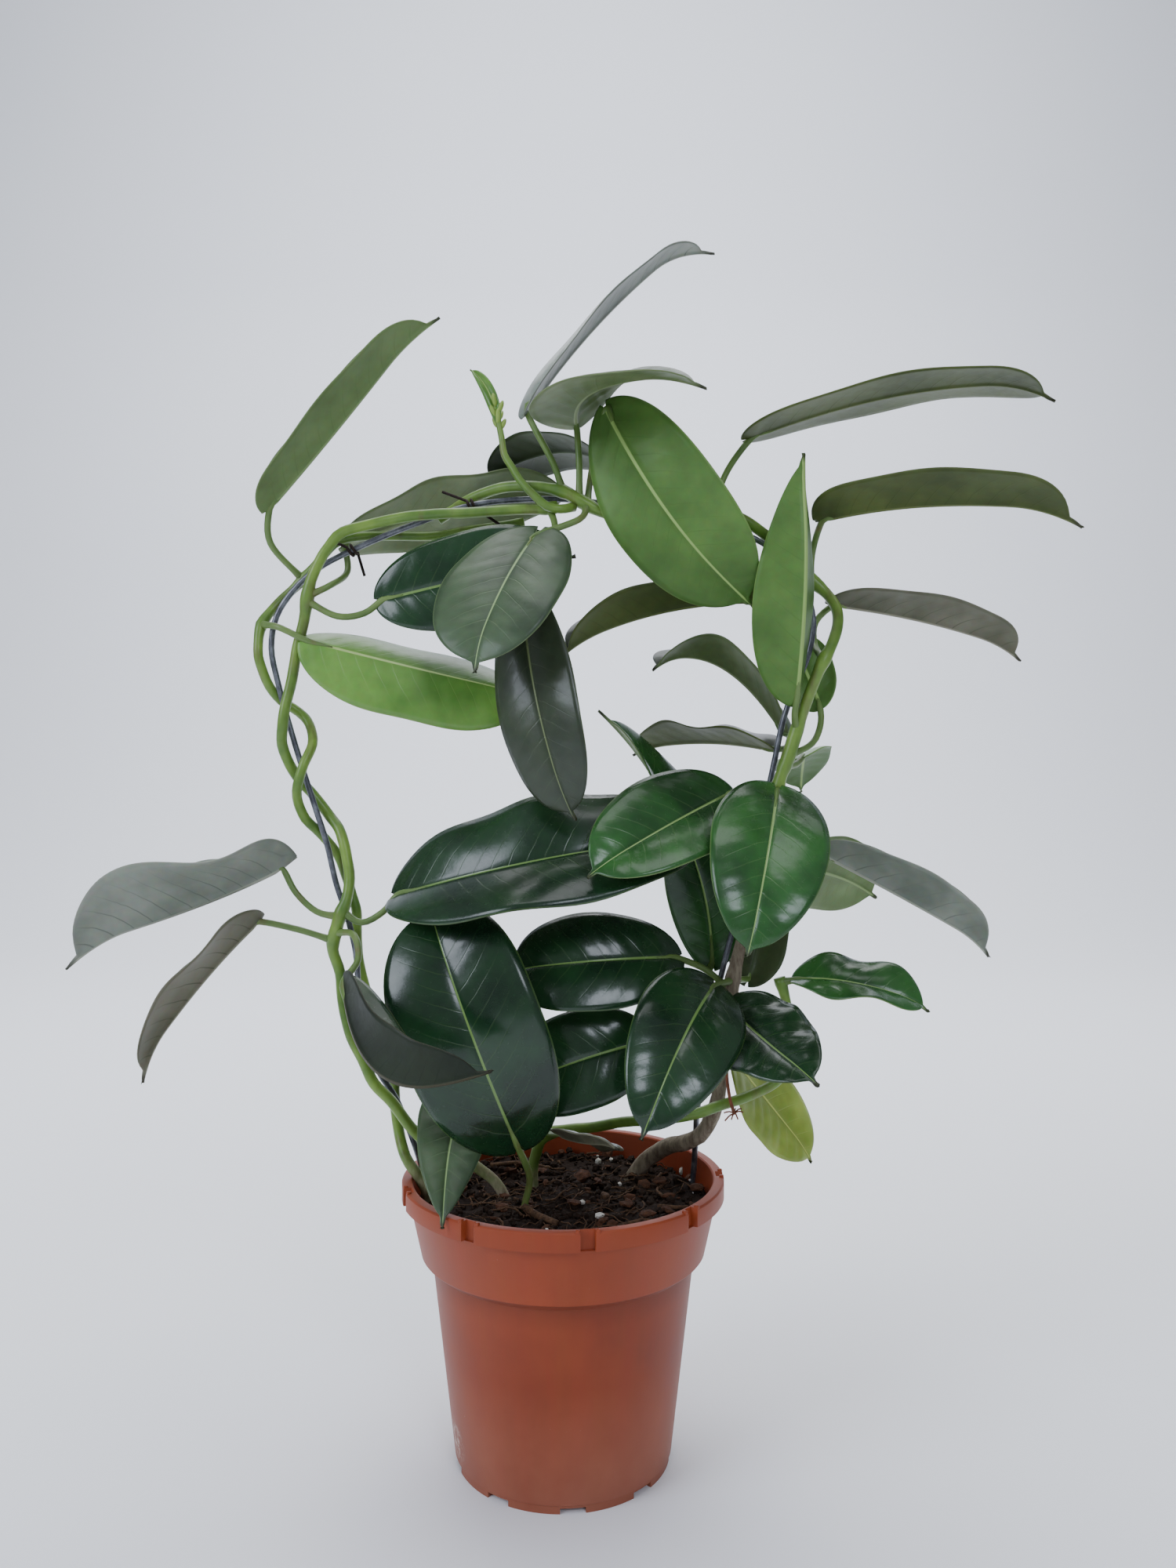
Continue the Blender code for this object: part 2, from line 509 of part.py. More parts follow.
def build_pot(parts, cutters):
    """The nursery pot: turned wall, collar and lip, then lip notches, foot slots and drain holes."""
    inner_collar = COLLAR_TOP_RADIUS - WALL
    foot_inside = FOOT_RADIUS - FOOT_WIDTH
    profile = (
        (0, FLOOR_HEIGHT + WALL),
        (FOOT_RADIUS - WALL - 0.6, FLOOR_HEIGHT + WALL),
        (WALL_TOP_RADIUS - WALL, COLLAR_BOTTOM + WALL),
        (COLLAR_BOTTOM_RADIUS - WALL, COLLAR_BOTTOM + WALL + 1),
        (inner_collar, POT_HEIGHT - LIP_DROP),
        (inner_collar + 0.2, POT_HEIGHT - 0.5),
        (inner_collar + 0.7, POT_HEIGHT),
        (LIP_RADIUS - 0.6, POT_HEIGHT),
        (LIP_RADIUS, POT_HEIGHT - 0.6),
        (LIP_RADIUS, POT_HEIGHT - LIP_DROP),
        (COLLAR_TOP_RADIUS, POT_HEIGHT - LIP_DROP - 0.3),
        (COLLAR_BOTTOM_RADIUS, COLLAR_BOTTOM + 1.8),
        (COLLAR_BOTTOM_RADIUS - 1, COLLAR_BOTTOM + 0.4),
        (WALL_TOP_RADIUS, COLLAR_BOTTOM - 0.4),
        (FOOT_RADIUS + 0.7, FLOOR_HEIGHT + 0.3),
        (FOOT_RADIUS, FLOOR_HEIGHT - 0.2),
        (FOOT_RADIUS, 0),
        (foot_inside, 0),
        (foot_inside, FLOOR_HEIGHT),
        (0, FLOOR_HEIGHT),
    )
    pot = turned("pot", profile, POT_STEPS, parts)
    tools = []
    for index in range(NOTCHES):
        turn = index * 360 / NOTCHES
        deep = LIP_RADIUS - COLLAR_TOP_RADIUS + 4
        lip = (deep, NOTCH_WIDTH, LIP_DROP + 1)
        place = (COLLAR_TOP_RADIUS - 0.2 + deep / 2, POT_HEIGHT - LIP_DROP + (LIP_DROP + 1) / 2 - 0.2)
        tools.append(box_at("notch_cutter", lip, place, NOTCH_START + turn, cutters))
        low = (FOOT_WIDTH * 3, SLOT_WIDTH, SLOT_HEIGHT * 2)
        tools.append(box_at("slot_cutter", low, (FOOT_RADIUS - 1, 0), SLOT_START + turn, cutters))
        tools.append(drain_cutter(SLOT_START + turn + 20, cutters))
    for tool in tools:
        cut_or_join(pot, tool, "DIFFERENCE")
        bpy.data.objects.remove(tool)
    pot.data.materials.append(new_material("terracotta_plastic", (0.34, 0.085, 0.035), 0.48))
    return pot


def drain_cutter(angle, home):
    """An upright eight-sided cutter through the pot's floor."""
    bm = bmesh.new()
    place = Matrix.Rotation(math.radians(angle), 4, "Z") @ Matrix.Translation((DRAIN_CIRCLE * MM, 0, 0))
    bmesh.ops.create_cone(
        bm,
        cap_ends=True,
        segments=8,
        radius1=DRAIN_RADIUS * MM,
        radius2=DRAIN_RADIUS * MM,
        depth=FLOOR_HEIGHT * 6 * MM,
        matrix=place,
    )
    mesh = bpy.data.meshes.new("drain_cutter")
    bm.to_mesh(mesh)
    bm.free()
    return as_cutter(new_object("drain_cutter", mesh, home))


def soil_bump(x, y):
    """Height of the soil's lumps at a place, in millimetres."""
    broad = math.sin(x * 0.13 + 1.7) * math.cos(y * 0.11 - 0.6)
    small = math.sin(x * 0.31 - y * 0.23 + 0.5) * math.cos(y * 0.37 + x * 0.07)
    return SOIL_BUMP * (0.7 * broad + 0.55 * small)


def build_soil(parts, cutters, knots):
    """The soil that fills the pot, lumpy on top, with a plain hole where each stem stands."""
    low = FLOOR_HEIGHT + WALL + GAP
    wall_top = WALL_TOP_RADIUS - WALL - GAP
    shoulder = COLLAR_BOTTOM_RADIUS - WALL - GAP
    collar = COLLAR_TOP_RADIUS - WALL - GAP
    share = (SOIL_HEIGHT - COLLAR_BOTTOM) / (POT_HEIGHT - LIP_DROP - COLLAR_BOTTOM)
    brim = shoulder + (collar - shoulder) * share - 0.5
    profile = [(0, SOIL_HEIGHT)]
    profile += [(ring, SOIL_HEIGHT) for ring in SOIL_RINGS]
    profile += [
        (brim, SOIL_HEIGHT - 0.6),
        (shoulder - 0.5, COLLAR_BOTTOM + WALL + 1.9),
        (wall_top - 0.2, COLLAR_BOTTOM + WALL + 0.7),
        (FOOT_RADIUS - WALL - 0.6 - GAP - 0.3, low),
        (0, low),
    ]
    soil = turned("soil", profile, SOIL_STEPS, parts)
    for vertex in soil.data.vertices:
        x, y, z = vertex.co / MM
        if z > SOIL_HEIGHT - 2:
            vertex.co.z += soil_bump(x, y) * MM
    for stem in STEMS:
        room = as_cutter(build_stem(stem, knots[stem.name], cutters, GAP, stem.name + "_room"))
        cut_or_join(soil, room, "DIFFERENCE")
        bpy.data.objects.remove(room)
    for leaf in LEAVES:
        if leaf.stem == "soil":
            route = stalk_route(leaf)
            radii = [STALK_RADIUS * (1 + STALK_FOOT) + GAP] * len(route)
            room = as_cutter(tube(leaf.name + "_room", route, radii, cutters))
            cut_or_join(soil, room, "DIFFERENCE")
            bpy.data.objects.remove(room)
    soil.data.materials.append(new_material("soil", (0.022, 0.014, 0.009), 0.95))
    return soil


def midrib_point(leaf, t):
    """Point at share t of the midrib, on the parabola through base, middle and tip."""
    base, middle, tip = (Vector(point) for point in (leaf.base, leaf.middle, leaf.tip))
    return base * (1 - t) * (1 - 2 * t) + middle * 4 * t * (1 - t) + tip * t * (2 * t - 1)


def midrib_frame(leaf, t):
    """Direction along the midrib, across the blade and out of its upper face at share t."""
    along = (midrib_point(leaf, t + 0.01) - midrib_point(leaf, t - 0.01)).normalized()
    first = Vector(leaf.facing).normalized()
    last = Vector(leaf.tip_facing or leaf.facing).normalized()
    up = first.lerp(last, min(1.0, max(0.0, t)))
    across = along.cross(up).normalized()
    return along, across, across.cross(along)


def half_width(leaf, t):
    """Half the blade's width at share t: an oblong blade, rounded at both ends, with a pointed spur."""
    body = 1 - abs(2 * t / BLADE_END - 1) ** leaf.square
    blade = math.sqrt(max(0.0, body)) * (1 - leaf.taper * t**TAPER_POWER)
    spur = 0.0
    if t > SPUR_START:
        spur = SPUR_SHARE * ((1 - t) / (1 - SPUR_START)) ** 0.8
    return leaf.width / 2 * max(blade, spur)


def blade_point(leaf, u, t):
    """Point of the blade at u across, from -1 to 1, and share t along its midrib."""
    along, across, up = midrib_frame(leaf, t)
    reach = half_width(leaf, t)
    side = math.copysign(1.0, u)
    share = abs(u) * reach / (leaf.width / 2)
    start = math.radians(leaf.fold)
    bend = math.radians(leaf.curl) or 1e-6
    out = (math.sin(start + bend * share) - math.sin(start)) / bend
    rise = (math.cos(start) - math.cos(start + bend * share)) / bend
    ripple = math.sin(2 * math.pi * leaf.waves * t + leaf.phase + (1.7 if u > 0 else 0.0))
    rise_mm = rise * leaf.width / 2 + leaf.wave * ripple * share**2
    back = leaf.lobe * abs(u) ** 1.5 * max(0.0, 1 - t / 0.3) ** 2 if t > 0 else 0.0
    drop = leaf.hook * max(0.0, (t - 0.75) / 0.25) ** 2
    place = midrib_point(leaf, t) + across * (side * out * leaf.width / 2)
    return place + up * (rise_mm - drop) - along * back


def row_share(s):
    """Share of the midrib for an even share s of the rows, closer together at both ends."""
    return (1 - math.cos(math.pi * s)) / 2


def tie_route(tie):
    """Middle line of a tie: one free end, its turns round the wire, the other free end."""
    route = smooth_route(HOOP.points, PATH_STEP / 4)
    near = min(range(1, len(route) - 1), key=lambda index: (route[index] - Vector(tie.place)).length)
    middle = route[near]
    along = (route[near + 1] - route[near - 1]).normalized()
    first = along.cross(Vector((0, 1, 0))).normalized()
    second = along.cross(first)
    reach = WIRE_RADIUS + GAP + TIE_RADIUS
    steps = round(tie.turns * TIE_SIDES)
    coil = []
    for step in range(steps + 1):
        angle = 2 * math.pi * step / TIE_SIDES
        shift = along * (TIE_PITCH * (step / TIE_SIDES - tie.turns / 2))
        coil.append(middle + shift + (first * math.cos(angle) + second * math.sin(angle)) * reach)
    return [Vector(tie.ends[0]), *coil, Vector(tie.ends[1])]


def build_tie(tie, home):
    """A tie as a thin closed cord."""
    route = tie_route(tie)
    return tube(tie.name, route, [TIE_RADIUS] * len(route), home)


def build_blade(leaf, home):
    """The blade: a grid laid on the leaf's surface, split alike on both faces, with its thickness."""
    bm = bmesh.new()
    bmesh.ops.create_grid(bm, x_segments=BLADE_COLUMNS, y_segments=BLADE_ROWS, size=1)
    for vertex in bm.verts:
        vertex.co = blade_point(leaf, vertex.co.x, row_share((vertex.co.y + 1) / 2)) * MM
    bmesh.ops.remove_doubles(bm, verts=bm.verts, dist=1e-6)
    bmesh.ops.triangulate(bm, faces=bm.faces, quad_method="FIXED")
    mesh = bpy.data.meshes.new(leaf.name)
    bm.to_mesh(mesh)
    bm.free()
    blade = new_object(leaf.name, mesh, home)
    thicken = blade.modifiers.new("thickness", "SOLIDIFY")
    thicken.thickness = BLADE_THICKNESS * MM
    thicken.offset = 0
    apply_modifiers(blade)
    return blade


def nearest_on(stem, place):
    """The point of a stem's route nearest to a place."""
    route = smooth_route(stem.points, PATH_STEP / 4)
    return min(route, key=lambda spot: (spot - Vector(place)).length)


def leaf_root(leaf):
    """Where the leaf's stalk starts: on its stem's middle line, or in the soil."""
    for stem in STEMS:
        if stem.name == leaf.stem:
            return nearest_on(stem, leaf.root)
    return Vector(leaf.root)


def stalk_route(leaf):
    """The stalk's middle line, from its root to a little way inside the blade."""
    ends = [midrib_point(leaf, 0), midrib_point(leaf, STALK_SINK * 0.5), midrib_point(leaf, STALK_SINK)]
    knots = [leaf_root(leaf), *(Vector(point) for point in leaf.via), *ends]
    length = sum((end - start).length for start, end in zip(knots, knots[1:]))
    return smooth_route(knots, max(3.5, length / STALK_POINTS))


def build_leaf(leaf, parts, rooms):
    """A leaf: blade and stalk joined, its root cut clear of the stem that carries it."""
    blade = build_blade(leaf, parts)
    route = stalk_route(leaf)
    lengths = route_lengths(route)
    radii = []
    for length in lengths:
        left = max(0.0, 1 - length / lengths[-1])
        inside = min(1.0, left * lengths[-1] / (STALK_SINK * leaf.width * 2))
        taper = STALK_END + (1 - STALK_END) * inside
        radii.append(STALK_RADIUS * taper * (1 + STALK_FOOT * left**6))
    stalk = tube(leaf.name + "_stalk", route, radii, parts)
    join_all(blade, [stalk])
    if leaf.stem in rooms:
        cut_or_join(blade, rooms[leaf.stem], "DIFFERENCE")
    return blade


def keep_largest(piece):
    """Drops loose scraps that a cut leaves beside the main body."""
    bm = bmesh.new()
    bm.from_mesh(piece.data)
    left = set(bm.verts)
    bodies = []
    while left:
        body = set()
        edge = [left.pop()]
        while edge:
            vertex = edge.pop()
            body.add(vertex)
            for link in vertex.link_edges:
                other = link.other_vert(vertex)
                if other in left:
                    left.remove(other)
                    edge.append(other)
        bodies.append(body)
    bodies.sort(key=len)
    for body in bodies[:-1]:
        bmesh.ops.delete(bm, geom=list(body), context="VERTS")
    bm.to_mesh(piece.data)
    bm.free()


def main():
    """Clears the scene and builds the pot, the soil, the wire, the stems, the ties and the leaves."""
    for old in list(bpy.data.objects):
        bpy.data.objects.remove(old, do_unlink=True)
    parts = bpy.data.collections.new("potted_stephanotis")
    cutters = bpy.data.collections.new("cutters")
    bpy.context.scene.collection.children.link(parts)
    bpy.context.scene.collection.children.link(cutters)
    knots = {stem.name: [] for stem in (*STEMS, SHOOT_TIP, DRIED_STALK)}
    for leaf in LEAVES:
        if leaf.stem in knots:
            knots[leaf.stem].append(leaf_root(leaf))
    knots[HOOP.name] = []
    paints = {
        "wire_coating": new_material("wire_coating", (0.09, 0.085, 0.1), 0.4),
        "stem_green": new_material("stem_green", (0.13, 0.24, 0.03), 0.4),
        "tie_cord": new_material("tie_cord", (0.02, 0.014, 0.012), 0.7),
        "dry_stalk": new_material("dry_stalk", (0.17, 0.05, 0.025), 0.8),
        "leaf_green": new_material("leaf_green", (0.03, 0.09, 0.018), 0.3),
    }
    build_pot(parts, cutters)
    build_soil(parts, cutters, knots)
    rooms = {}
    for stem in STEMS:
        made = build_stem(stem, knots[stem.name], parts)
        made.data.materials.append(paints[stem.material])
        rooms[stem.name] = as_cutter(build_stem(stem, knots[stem.name], cutters, GAP, stem.name + "_room"))
    cut_or_join(bpy.data.objects[STEM_LEFT_INNER.name], rooms[STEM_RIGHT.name], "DIFFERENCE")
    keep_largest(bpy.data.objects[STEM_LEFT_INNER.name])
    for stem in (SHOOT_TIP, DRIED_STALK):
        made = build_stem(stem, knots[stem.name], parts)
        if stem is SHOOT_TIP:
            join_all(made, [build_blade(YOUNG_LEAF, parts)])
        cut_or_join(made, rooms[STEM_RIGHT.name], "DIFFERENCE")
        keep_largest(made)
        made.data.materials.append(paints[stem.material])
    for tie in TIES:
        made = build_tie(tie, parts)
        made.data.materials.append(paints["tie_cord"])
    for leaf in LEAVES:
        made = build_leaf(leaf, parts, rooms)
        keep_largest(made)
        made.data.materials.append(paints["leaf_green"])
    for room in rooms.values():
        bpy.data.objects.remove(room)


if __name__ == "__main__":
    main()
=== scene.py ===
"""Looks of a potted stephanotis: a climbing plant twined up a wire hoop in a plastic nursery pot.

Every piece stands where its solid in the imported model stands: Z up, the front towards -Y, the
origin at the middle of the pot's foot. Sizes and points are millimetres and degrees; meshes are in
metres.
"""

import logging  # noqa: E402
import math  # noqa: E402
import random  # noqa: E402
from dataclasses import dataclass, field  # noqa: E402
from enum import Enum  # noqa: E402

import bmesh  # noqa: E402
import bpy  # noqa: E402
from mathutils import Matrix, Vector, kdtree, noise  # noqa: E402

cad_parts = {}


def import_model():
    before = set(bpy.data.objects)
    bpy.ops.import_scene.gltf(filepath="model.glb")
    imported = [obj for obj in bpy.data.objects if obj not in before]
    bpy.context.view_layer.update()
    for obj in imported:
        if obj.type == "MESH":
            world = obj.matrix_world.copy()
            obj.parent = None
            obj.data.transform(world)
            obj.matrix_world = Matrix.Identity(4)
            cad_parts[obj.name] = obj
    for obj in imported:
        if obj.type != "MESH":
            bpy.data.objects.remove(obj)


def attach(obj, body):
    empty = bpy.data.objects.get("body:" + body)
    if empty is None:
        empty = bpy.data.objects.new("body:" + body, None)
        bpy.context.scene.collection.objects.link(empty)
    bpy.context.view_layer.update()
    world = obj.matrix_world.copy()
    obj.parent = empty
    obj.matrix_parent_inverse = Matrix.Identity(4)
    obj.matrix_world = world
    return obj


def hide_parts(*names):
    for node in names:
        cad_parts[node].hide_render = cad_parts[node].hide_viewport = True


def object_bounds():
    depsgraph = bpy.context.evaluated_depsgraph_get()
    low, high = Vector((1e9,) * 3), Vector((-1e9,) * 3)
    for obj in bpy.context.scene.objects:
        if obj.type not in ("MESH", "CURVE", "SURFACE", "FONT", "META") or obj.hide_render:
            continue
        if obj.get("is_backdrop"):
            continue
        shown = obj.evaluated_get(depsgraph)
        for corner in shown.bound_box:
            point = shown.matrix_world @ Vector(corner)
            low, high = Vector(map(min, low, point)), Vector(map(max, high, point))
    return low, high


LOG = logging.getLogger("potted_stephanotis")
MM = 0.001
FULL_TURN = 2 * math.pi
VEIN_SPACING = 7.0  # mm along the midrib from one side vein to the next
Point = tuple[float, float, float]
Piece = bpy.types.Object
Socket = bpy.types.NodeSocket


def linear(code: str) -> tuple[float, float, float, float]:
    """Turns an sRGB hex colour into linear light.

    Args:
        code: Colour such as "#2f4a26".

    Returns:
        Red, green, blue and full alpha, linear.
    """
    parts = [int(code[index : index + 2], 16) / 255 for index in (1, 3, 5)]
    light = [part / 12.92 if part <= 0.04045 else ((part + 0.055) / 1.055) ** 2.4 for part in parts]
    return light[0], light[1], light[2], 1.0


class Recipe:
    """A material being put together around one Principled shader."""

    def __init__(self, name: str, **sockets: object) -> None:
        """Starts a material.

        Args:
            name: Material's name.
            sockets: Values set directly on the shader, named with underscores for spaces.
        """
        self.material = bpy.data.materials.new(name)
        self.material.use_nodes = True
        self.tree = self.material.node_tree
        self.shader = self.tree.nodes["Principled BSDF"]
        for socket, value in sockets.items():
            self.shader.inputs[socket.replace("_", " ")].default_value = value

    def add(self, kind: str, feeds: dict, **settings: object) -> bpy.types.Node:
        """Adds one node with its settings, values and links.

        Args:
            kind: Node's type, without the ShaderNode in front.
            feeds: Input name or number to a value, a hex colour or the socket that feeds it.
            settings: Properties set on the node itself.

        Returns:
            The node.
        """
        node = self.tree.nodes.new("ShaderNode" + kind)
        node.location = (len(self.tree.nodes) * -60, len(self.tree.nodes) * 40)
        for key, value in settings.items():
            setattr(node, key, value)
        for key, value in feeds.items():
            if isinstance(value, Socket):
                self.tree.links.new(value, node.inputs[key])
            else:
                node.inputs[key].default_value = linear(value) if isinstance(value, str) else value
        return node

    def feed(self, socket: str, source: Socket) -> None:
        """Links a pattern to one of the shader's inputs."""
        self.tree.links.new(source, self.shader.inputs[socket])

    def place(self) -> Socket:
        """The object's own coordinates, in metres."""
        return self.add("TexCoord", {}).outputs["Object"]

    def drawn_out(self, place: Socket, share: float) -> Socket:
        """Coordinates with their heights shrunk to a share, which draws a pattern out upwards."""
        return self.add("Mapping", {0: place, 3: (1.0, 1.0, share)}).outputs[0]

    def mark(self, name: str, output: str = "Fac") -> Socket:
        """A value kept on the mesh's points."""
        return self.add("Attribute", {}, attribute_name=name).outputs[output]

    def noise(self, place: Socket, scale: float, detail: float, rough: float = 0.5) -> Socket:
        """Clouds from 0 to 1, about so many to the metre."""
        feeds = {"Vector": place, "Scale": scale, "Detail": detail, "Roughness": rough}
        return self.add("TexNoise", feeds).outputs[0]

    def sum(self, kind: str, *values: object) -> Socket:
        """Works out one sum, called by the Math node's own name for it."""
        return self.add("Math", dict(enumerate(values)), operation=kind).outputs[0]

    def spread(
        self,
        source: Socket,
        low: float,
        high: float,
        start: float = 0.0,
        end: float = 1.0,
        kind: str = "LINEAR",
    ) -> Socket:
        """Maps a value from low to high onto start to end, and holds it between them."""
        feeds = {0: source, 1: low, 2: high, 3: start, 4: end}
        return self.add("MapRange", feeds, interpolation_type=kind).outputs[0]

    def mix(self, share: object, first: object, second: object, kind: str = "MIX") -> Socket:
        """Lays a share of the second colour over the first."""
        feeds = {0: share, 6: first, 7: second}
        return self.add("Mix", feeds, data_type="RGBA", blend_type=kind).outputs[2]

    def bump(self, height: Socket, strength: float, distance: float) -> None:
        """Raises the surface where a value is high, by up to a distance in millimetres."""
        feeds = {"Height": height, "Strength": strength, "Distance": distance * MM}
        self.feed("Normal", self.add("Bump", feeds).outputs[0])

    def ramp(self, source: Socket, stops: dict[float, str]) -> Socket:
        """Colours a value from 0 to 1.

        Args:
            source: The value.
            stops: Two places along the ramp, in order, each with its hex colour.

        Returns:
            The colour socket.
        """
        node = self.add("ValToRGB", {0: source})
        for element, (place, code) in zip(node.color_ramp.elements, stops.items()):
            element.position = place
            element.color = linear(code)
        return node.outputs["Color"]


class Tone(Enum):
    """How a leaf is coloured: by its age, and by the daylight that comes through it."""

    DARK = "dark"
    MID = "mid"
    GREY = "grey"
    OLIVE = "olive"
    ASH = "ash"
    TAUPE = "taupe"
    BRIGHT = "bright"
    YELLOW = "yellow"
    BROWN = "brown"


@dataclass(frozen=True)
class LeafFinish:
    """A leathery evergreen leaf: waxy and quilted above, matte and paler below."""

    tone: Tone
    upper_low: str
    upper_high: str
    under_low: str
    under_high: str
    rib: str
    under_rib: str
    gloss: float = 0.24
    under_gloss: float = 0.5
    coat: float = 0.35
    side_veins: float = 0.09

    UNDER_COAT = 0.04
    UNDER_VEINS = 4  # how many times stronger the side veins show below than above
    VEIN_LEAN = -0.62  # how far a side vein runs forwards for each mm across
    VEIN_BOW = -0.012  # how fast it bends further forwards, for each mm across squared
    VEIN_SWAY = 5.0  # mm that the clouds push it off its line
    VEIN_WIDTH = 0.06  # in vein spacings
    RIB_STALK = 0.66  # mm, half the midrib's width at the stalk
    RIB_TIP = 0.2  # mm, the same at the tip
    POCKET = 1.6  # mm across the little pockets of the vein net
    DRY_TIP = "#2b2a1d"

    def side_lines(
        self, recipe: Recipe, across: Socket, along: Socket, share: Socket, cloud: Socket
    ) -> Socket:
        """Draws the side veins, which lean and bow towards the tip and fade at the margin.

        Args:
            recipe: The material.
            across: Distance from the midrib in mm.
            along: Distance along it in mm.
            share: Share of the blade's half width.
            cloud: The clouds that make the veins sway.

        Returns:
            How strongly a vein shows, from 0 to 1.
        """
        bow = recipe.sum("MULTIPLY", across, across)
        lean = recipe.sum("MULTIPLY_ADD", across, self.VEIN_LEAN, along)
        bowed = recipe.sum("MULTIPLY_ADD", bow, self.VEIN_BOW, lean)
        sway = recipe.sum("MULTIPLY_ADD", cloud, self.VEIN_SWAY, bowed)
        swing = recipe.sum("PINGPONG", recipe.sum("DIVIDE", sway, VEIN_SPACING), 0.5)
        vein = recipe.spread(swing, 0.0, self.VEIN_WIDTH, 1.0, 0.0, "SMOOTHSTEP")
        return recipe.sum("MULTIPLY", vein, recipe.spread(share, 0.2, 0.9, 1.0, 0.0))

    def surface(self, under: bool) -> bpy.types.Material:
        """Makes one face's material.

        Args:
            under: True for the lower face.

        Returns:
            The material. It reads two marks on the blade: blade is mm across, mm along and share of
            the half width, and grown is the share of the midrib.
        """
        side = "under" if under else "upper"
        low = self.under_low if under else self.upper_low
        high = self.under_high if under else self.upper_high
        line = self.under_rib if under else self.rib
        wax = self.under_gloss if under else self.gloss
        recipe = Recipe(
            f"leaf_cuticle_{self.tone.value}_{side}",
            IOR=1.45,
            Coat_Weight=self.UNDER_COAT if under else self.coat,
            Coat_Roughness=0.15,
            Specular_IOR_Level=0.28 if under else 0.42,
        )
        place, grown = recipe.place(), recipe.mark("grown")
        blade = recipe.mark("blade", "Vector")
        sideways, along, share = recipe.add("SeparateXYZ", {0: blade}).outputs
        across = recipe.sum("ABSOLUTE", sideways)
        cloud = recipe.noise(place, 34.0, 3.0, 0.6)
        mottle = recipe.noise(place, 420.0, 3.0)
        veins = self.side_lines(recipe, across, along, share, cloud)
        # The midrib is a broad pale line at the stalk and a hair at the tip.
        half = recipe.spread(grown, 0.0, 1.0, self.RIB_STALK, self.RIB_TIP)
        rib = recipe.spread(recipe.sum("DIVIDE", across, half), 0.6, 1.2, 1.0, 0.0, "SMOOTHSTEP")
        blend = recipe.sum("MULTIPLY_ADD", recipe.noise(place, 14.0, 2.0), 0.7, cloud)
        colour = recipe.ramp(blend, {0.7: low, 0.98: high})
        colour = recipe.mix(0.14, colour, mottle.node.outputs["Color"], "OVERLAY")
        lines = recipe.sum("MULTIPLY", veins, self.side_veins * (self.UNDER_VEINS if under else 1))
        colour = recipe.mix(lines, colour, low if under else line)
        colour = recipe.mix(rib, colour, line)
        colour = recipe.mix(recipe.spread(share, 0.972, 1.0, 0.0, 0.35), colour, line)
        colour = recipe.mix(recipe.spread(grown, 0.955, 0.985, 0.0, 0.85), colour, self.DRY_TIP)
        recipe.feed("Base Color", colour)
        recipe.feed("Roughness", recipe.spread(mottle, 0.25, 0.75, wax - 0.03, wax + 0.05))
        feeds = {"Vector": place, "Scale": 1000 / self.POCKET}
        net = recipe.add("TexVoronoi", feeds, feature="DISTANCE_TO_EDGE").outputs[0]
        pockets = recipe.sum("MULTIPLY_ADD", net, 0.4, recipe.sum("MULTIPLY", mottle, 0.35))
        sunk = recipe.sum("MULTIPLY_ADD", veins, 0.8 if under else -0.9, pockets)
        recipe.bump(sunk, 0.26, 0.2)
        return recipe.material


LEAF_FINISHES = (
    LeafFinish(Tone.DARK, "#0f2216", "#1b3a1f", "#2c3822", "#3d4a2c", "#6d8c4a", "#46543a",
        coat=0.3),
    LeafFinish(Tone.MID, "#1d3d1e", "#31602c", "#566a3e", "#6b8151", "#88a562", "#7e9560",
        coat=0.14),
    LeafFinish(Tone.GREY, "#2a3a27", "#43573b", "#50603a", "#6f7d56", "#86a06a", "#7c8a62",
        gloss=0.42, coat=0.06),
    LeafFinish(Tone.OLIVE, "#242c21", "#353f2d", "#38431f", "#4e5a2c", "#66714c", "#606b3d",
        gloss=0.34, coat=0.14),
    LeafFinish(Tone.ASH, "#4f5b50", "#6e7b6f", "#646b60", "#848a7e", "#a9b39a", "#989c8c", 0.3,
        0.34, 0.1, 0.3),
    LeafFinish(Tone.TAUPE, "#4b5248", "#666d60", "#50513f", "#6c6b5a", "#8c927c", "#7d7c68", 0.34,
        0.42, 0.1, 0.3),
    LeafFinish(Tone.BRIGHT, "#4d7630", "#6c9844", "#47682f", "#597d3b", "#a6c074", "#8fae62",
        gloss=0.32, coat=0.12),
    LeafFinish(Tone.YELLOW, "#74872f", "#9aae4c", "#66762f", "#828f3f", "#b8c266", "#8f9a4a",
        gloss=0.34, coat=0.1),
    LeafFinish(Tone.BROWN, "#25382a", "#33492f", "#131b11", "#222b1c", "#7f8457", "#3f3d2b"),
)


